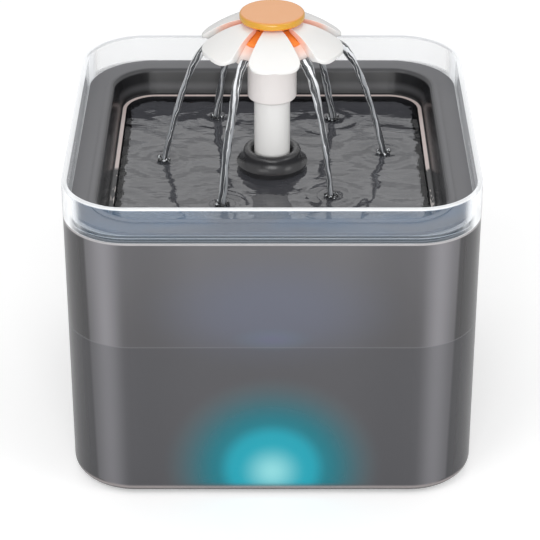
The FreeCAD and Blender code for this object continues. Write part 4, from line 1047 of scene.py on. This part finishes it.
class FOUNTAIN_OT_pump(FountainStep, bpy.types.Operator):
    """Finishes the pump, its motor, its impeller and its intake"""

    bl_idname = "fountain.pump"
    bl_label = "Pump"

    def execute(self, context):
        dress(moulded("pump_black", srgb(46, 46, 49), 0.42, grain=0.4), "pump_housing", "outlet_nozzle",
              "volute_cover", "intake_cover")
        dress(moulded("impeller_white", srgb(226, 226, 222), 0.35, grain=0.2), "impeller", "flow_slider")
        dress(moulded("cast_resin", srgb(30, 29, 28), 0.25, grain=0.5, mottle=0.12), "motor_resin")
        dress(moulded("shaft_ceramic", srgb(238, 237, 232), 0.12, grain=0.05, mottle=0.02), "impeller_shaft")
        core = Finish("core_steel", 0.35, Metallic=0.9)
        sheets = core.waves(0.5 * MM, "Z")
        dress(core.patterned(sheets, srgb(92, 93, 96), srgb(150, 151, 154), 0.1 * MM, 0.6), "stator_core")
        coil = Finish("coil_copper", 0.3, Metallic=0.8)
        winds = coil.waves(0.35 * MM, "Y")
        dress(coil.patterned(winds, srgb(120, 62, 32), srgb(206, 122, 72), 0.15 * MM, 0.8), "stator_coils")
        magnet = Finish("magnet_black", 0.5, Metallic=0.4)
        grit = magnet.noise(0.4 * MM, 3)
        dress(magnet.patterned(grit, srgb(40, 40, 42), srgb(72, 72, 75), 0.05 * MM, 0.5), "rotor_magnet")
        foam = Finish("intake_foam", 0.95)
        struts = foam.cells(1.6 * MM)[1].rise(0.15, 0.55)
        dress(foam.patterned(struts, srgb(16, 16, 17), srgb(58, 58, 60), 0.8 * MM, 1.0), "intake_sponge")
        return {"FINISHED"}


class FOUNTAIN_OT_stage(FountainStep, bpy.types.Operator):
    """Sets the floor, the soft studio light and the camera"""

    bl_idname = "fountain.stage"
    bl_label = "Stage"

    def execute(self, context):
        scene = context.scene
        scene.view_settings.view_transform = "Standard"
        self.floor()
        self.world(scene)
        for name, place, size, power in LAMPS:
            lamp = bpy.data.lights.new(name, "AREA")
            lamp.size = size
            lamp.energy = power
            holder = bpy.data.objects.new(name, lamp)
            holder.location = place
            holder.rotation_euler = (LAMP_AIM - Vector(place)).to_track_quat("-Z", "Y").to_euler()
            scene.collection.objects.link(holder)
        self.camera(scene)
        return {"FINISHED"}

    def floor(self):
        """A pale floor that keeps the object's shadow and is lifted towards white where it is seen."""
        finish = Finish("white_floor", 0.9)
        finish.patterned(finish.noise(0.3, 2), (0.88, 0.88, 0.88, 1), (0.9, 0.9, 0.9, 1))
        path = finish.node("ShaderNodeLightPath")
        seen = finish.wire(path, "Is Camera Ray").most(finish.wire(path, "Is Transmission Ray"))
        lift = finish.node("ShaderNodeEmission", {}, {"Color": WHITE, "Strength": seen * FLOOR_LIFT})
        added = finish.node("ShaderNodeAddShader", {}, {0: finish.shader.outputs[0], 1: lift.outputs[0]})
        finish.feed(finish.output.inputs["Surface"], added.outputs[0])
        reach = FLOOR_REACH
        mesh = bpy.data.meshes.new("floor")
        mesh.from_pydata([(-reach, -reach, 0), (reach, -reach, 0), (reach, reach, 0), (-reach, reach, 0)],
                         [], [(0, 1, 2, 3)])
        mesh.materials.append(finish.material)
        floor = bpy.data.objects.new("floor", mesh)
        bpy.context.scene.collection.objects.link(floor)

    def world(self, scene):
        """A white world that lights the object gently: 1 to the camera, less to everything else."""
        scene.world = bpy.data.worlds.new("studio")
        nodes = Nodes(scene.world)
        path = nodes.node("ShaderNodeLightPath")
        light = nodes.wire(path, "Is Glossy Ray") * WORLD_SHINE + WORLD_LIGHT
        back = nodes.node("ShaderNodeBackground", {}, {
            "Color": WHITE, "Strength": nodes.wire(path, "Is Camera Ray").most(light)})
        nodes.node("ShaderNodeOutputWorld", {}, {"Surface": back.outputs[0]})

    def camera(self, scene):
        """The photo's camera: its aim is off the frame's middle, and the shift puts it back there."""
        lens = bpy.data.cameras.new("camera")
        lens.sensor_width = SENSOR_WIDTH
        lens.lens = FOCAL_PIXELS / PHOTO_SIDE * SENSOR_WIDTH
        lens.shift_x = (PHOTO_SIDE / 2 - PHOTO_AIM[0]) / PHOTO_SIDE
        lens.shift_y = (PHOTO_AIM[1] - PHOTO_SIDE / 2) / PHOTO_SIDE
        camera = bpy.data.objects.new("camera", lens)
        back = Vector((0, -math.cos(CAMERA_ELEVATION), math.sin(CAMERA_ELEVATION)))
        camera.location = CAMERA_AIM + back * CAMERA_DISTANCE
        camera.rotation_euler = (math.pi / 2 - CAMERA_ELEVATION, 0, 0)
        scene.collection.objects.link(camera)
        scene.camera = camera


STEPS = (FOUNTAIN_OT_shells, FOUNTAIN_OT_riser, FOUNTAIN_OT_flower, FOUNTAIN_OT_water, FOUNTAIN_OT_lamp,
         FOUNTAIN_OT_filter, FOUNTAIN_OT_pump, FOUNTAIN_OT_stage)


class FOUNTAIN_PT_panel(bpy.types.Panel):
    """The fountain's steps, sizes and colours"""

    bl_idname = "FOUNTAIN_PT_panel"
    bl_label = "Pet Fountain"
    bl_space_type = "VIEW_3D"
    bl_region_type = "UI"
    bl_category = "Fountain"

    def draw(self, context):
        for group in (sizes(), colours()):
            for name in group.__annotations__:
                self.layout.prop(group, name)
        for step in STEPS:
            self.layout.operator(step.bl_idname)


CLASSES = (FountainSizes, FountainColours, *STEPS, FOUNTAIN_PT_panel)


def register():
    for item in CLASSES:
        bpy.utils.register_class(item)
    bpy.types.Scene.fountain_sizes = bpy.props.PointerProperty(type=FountainSizes)
    bpy.types.Scene.fountain_colours = bpy.props.PointerProperty(type=FountainColours)


def unregister():
    del bpy.types.Scene.fountain_colours
    del bpy.types.Scene.fountain_sizes
    for item in reversed(CLASSES):
        bpy.utils.unregister_class(item)


def main():
    register()
    bpy.ops.fountain.shells()
    bpy.ops.fountain.riser()
    bpy.ops.fountain.flower()
    bpy.ops.fountain.water()
    bpy.ops.fountain.lamp()
    bpy.ops.fountain.filter()
    bpy.ops.fountain.pump()
    bpy.ops.fountain.stage()


if __name__ == "__main__":
    main()
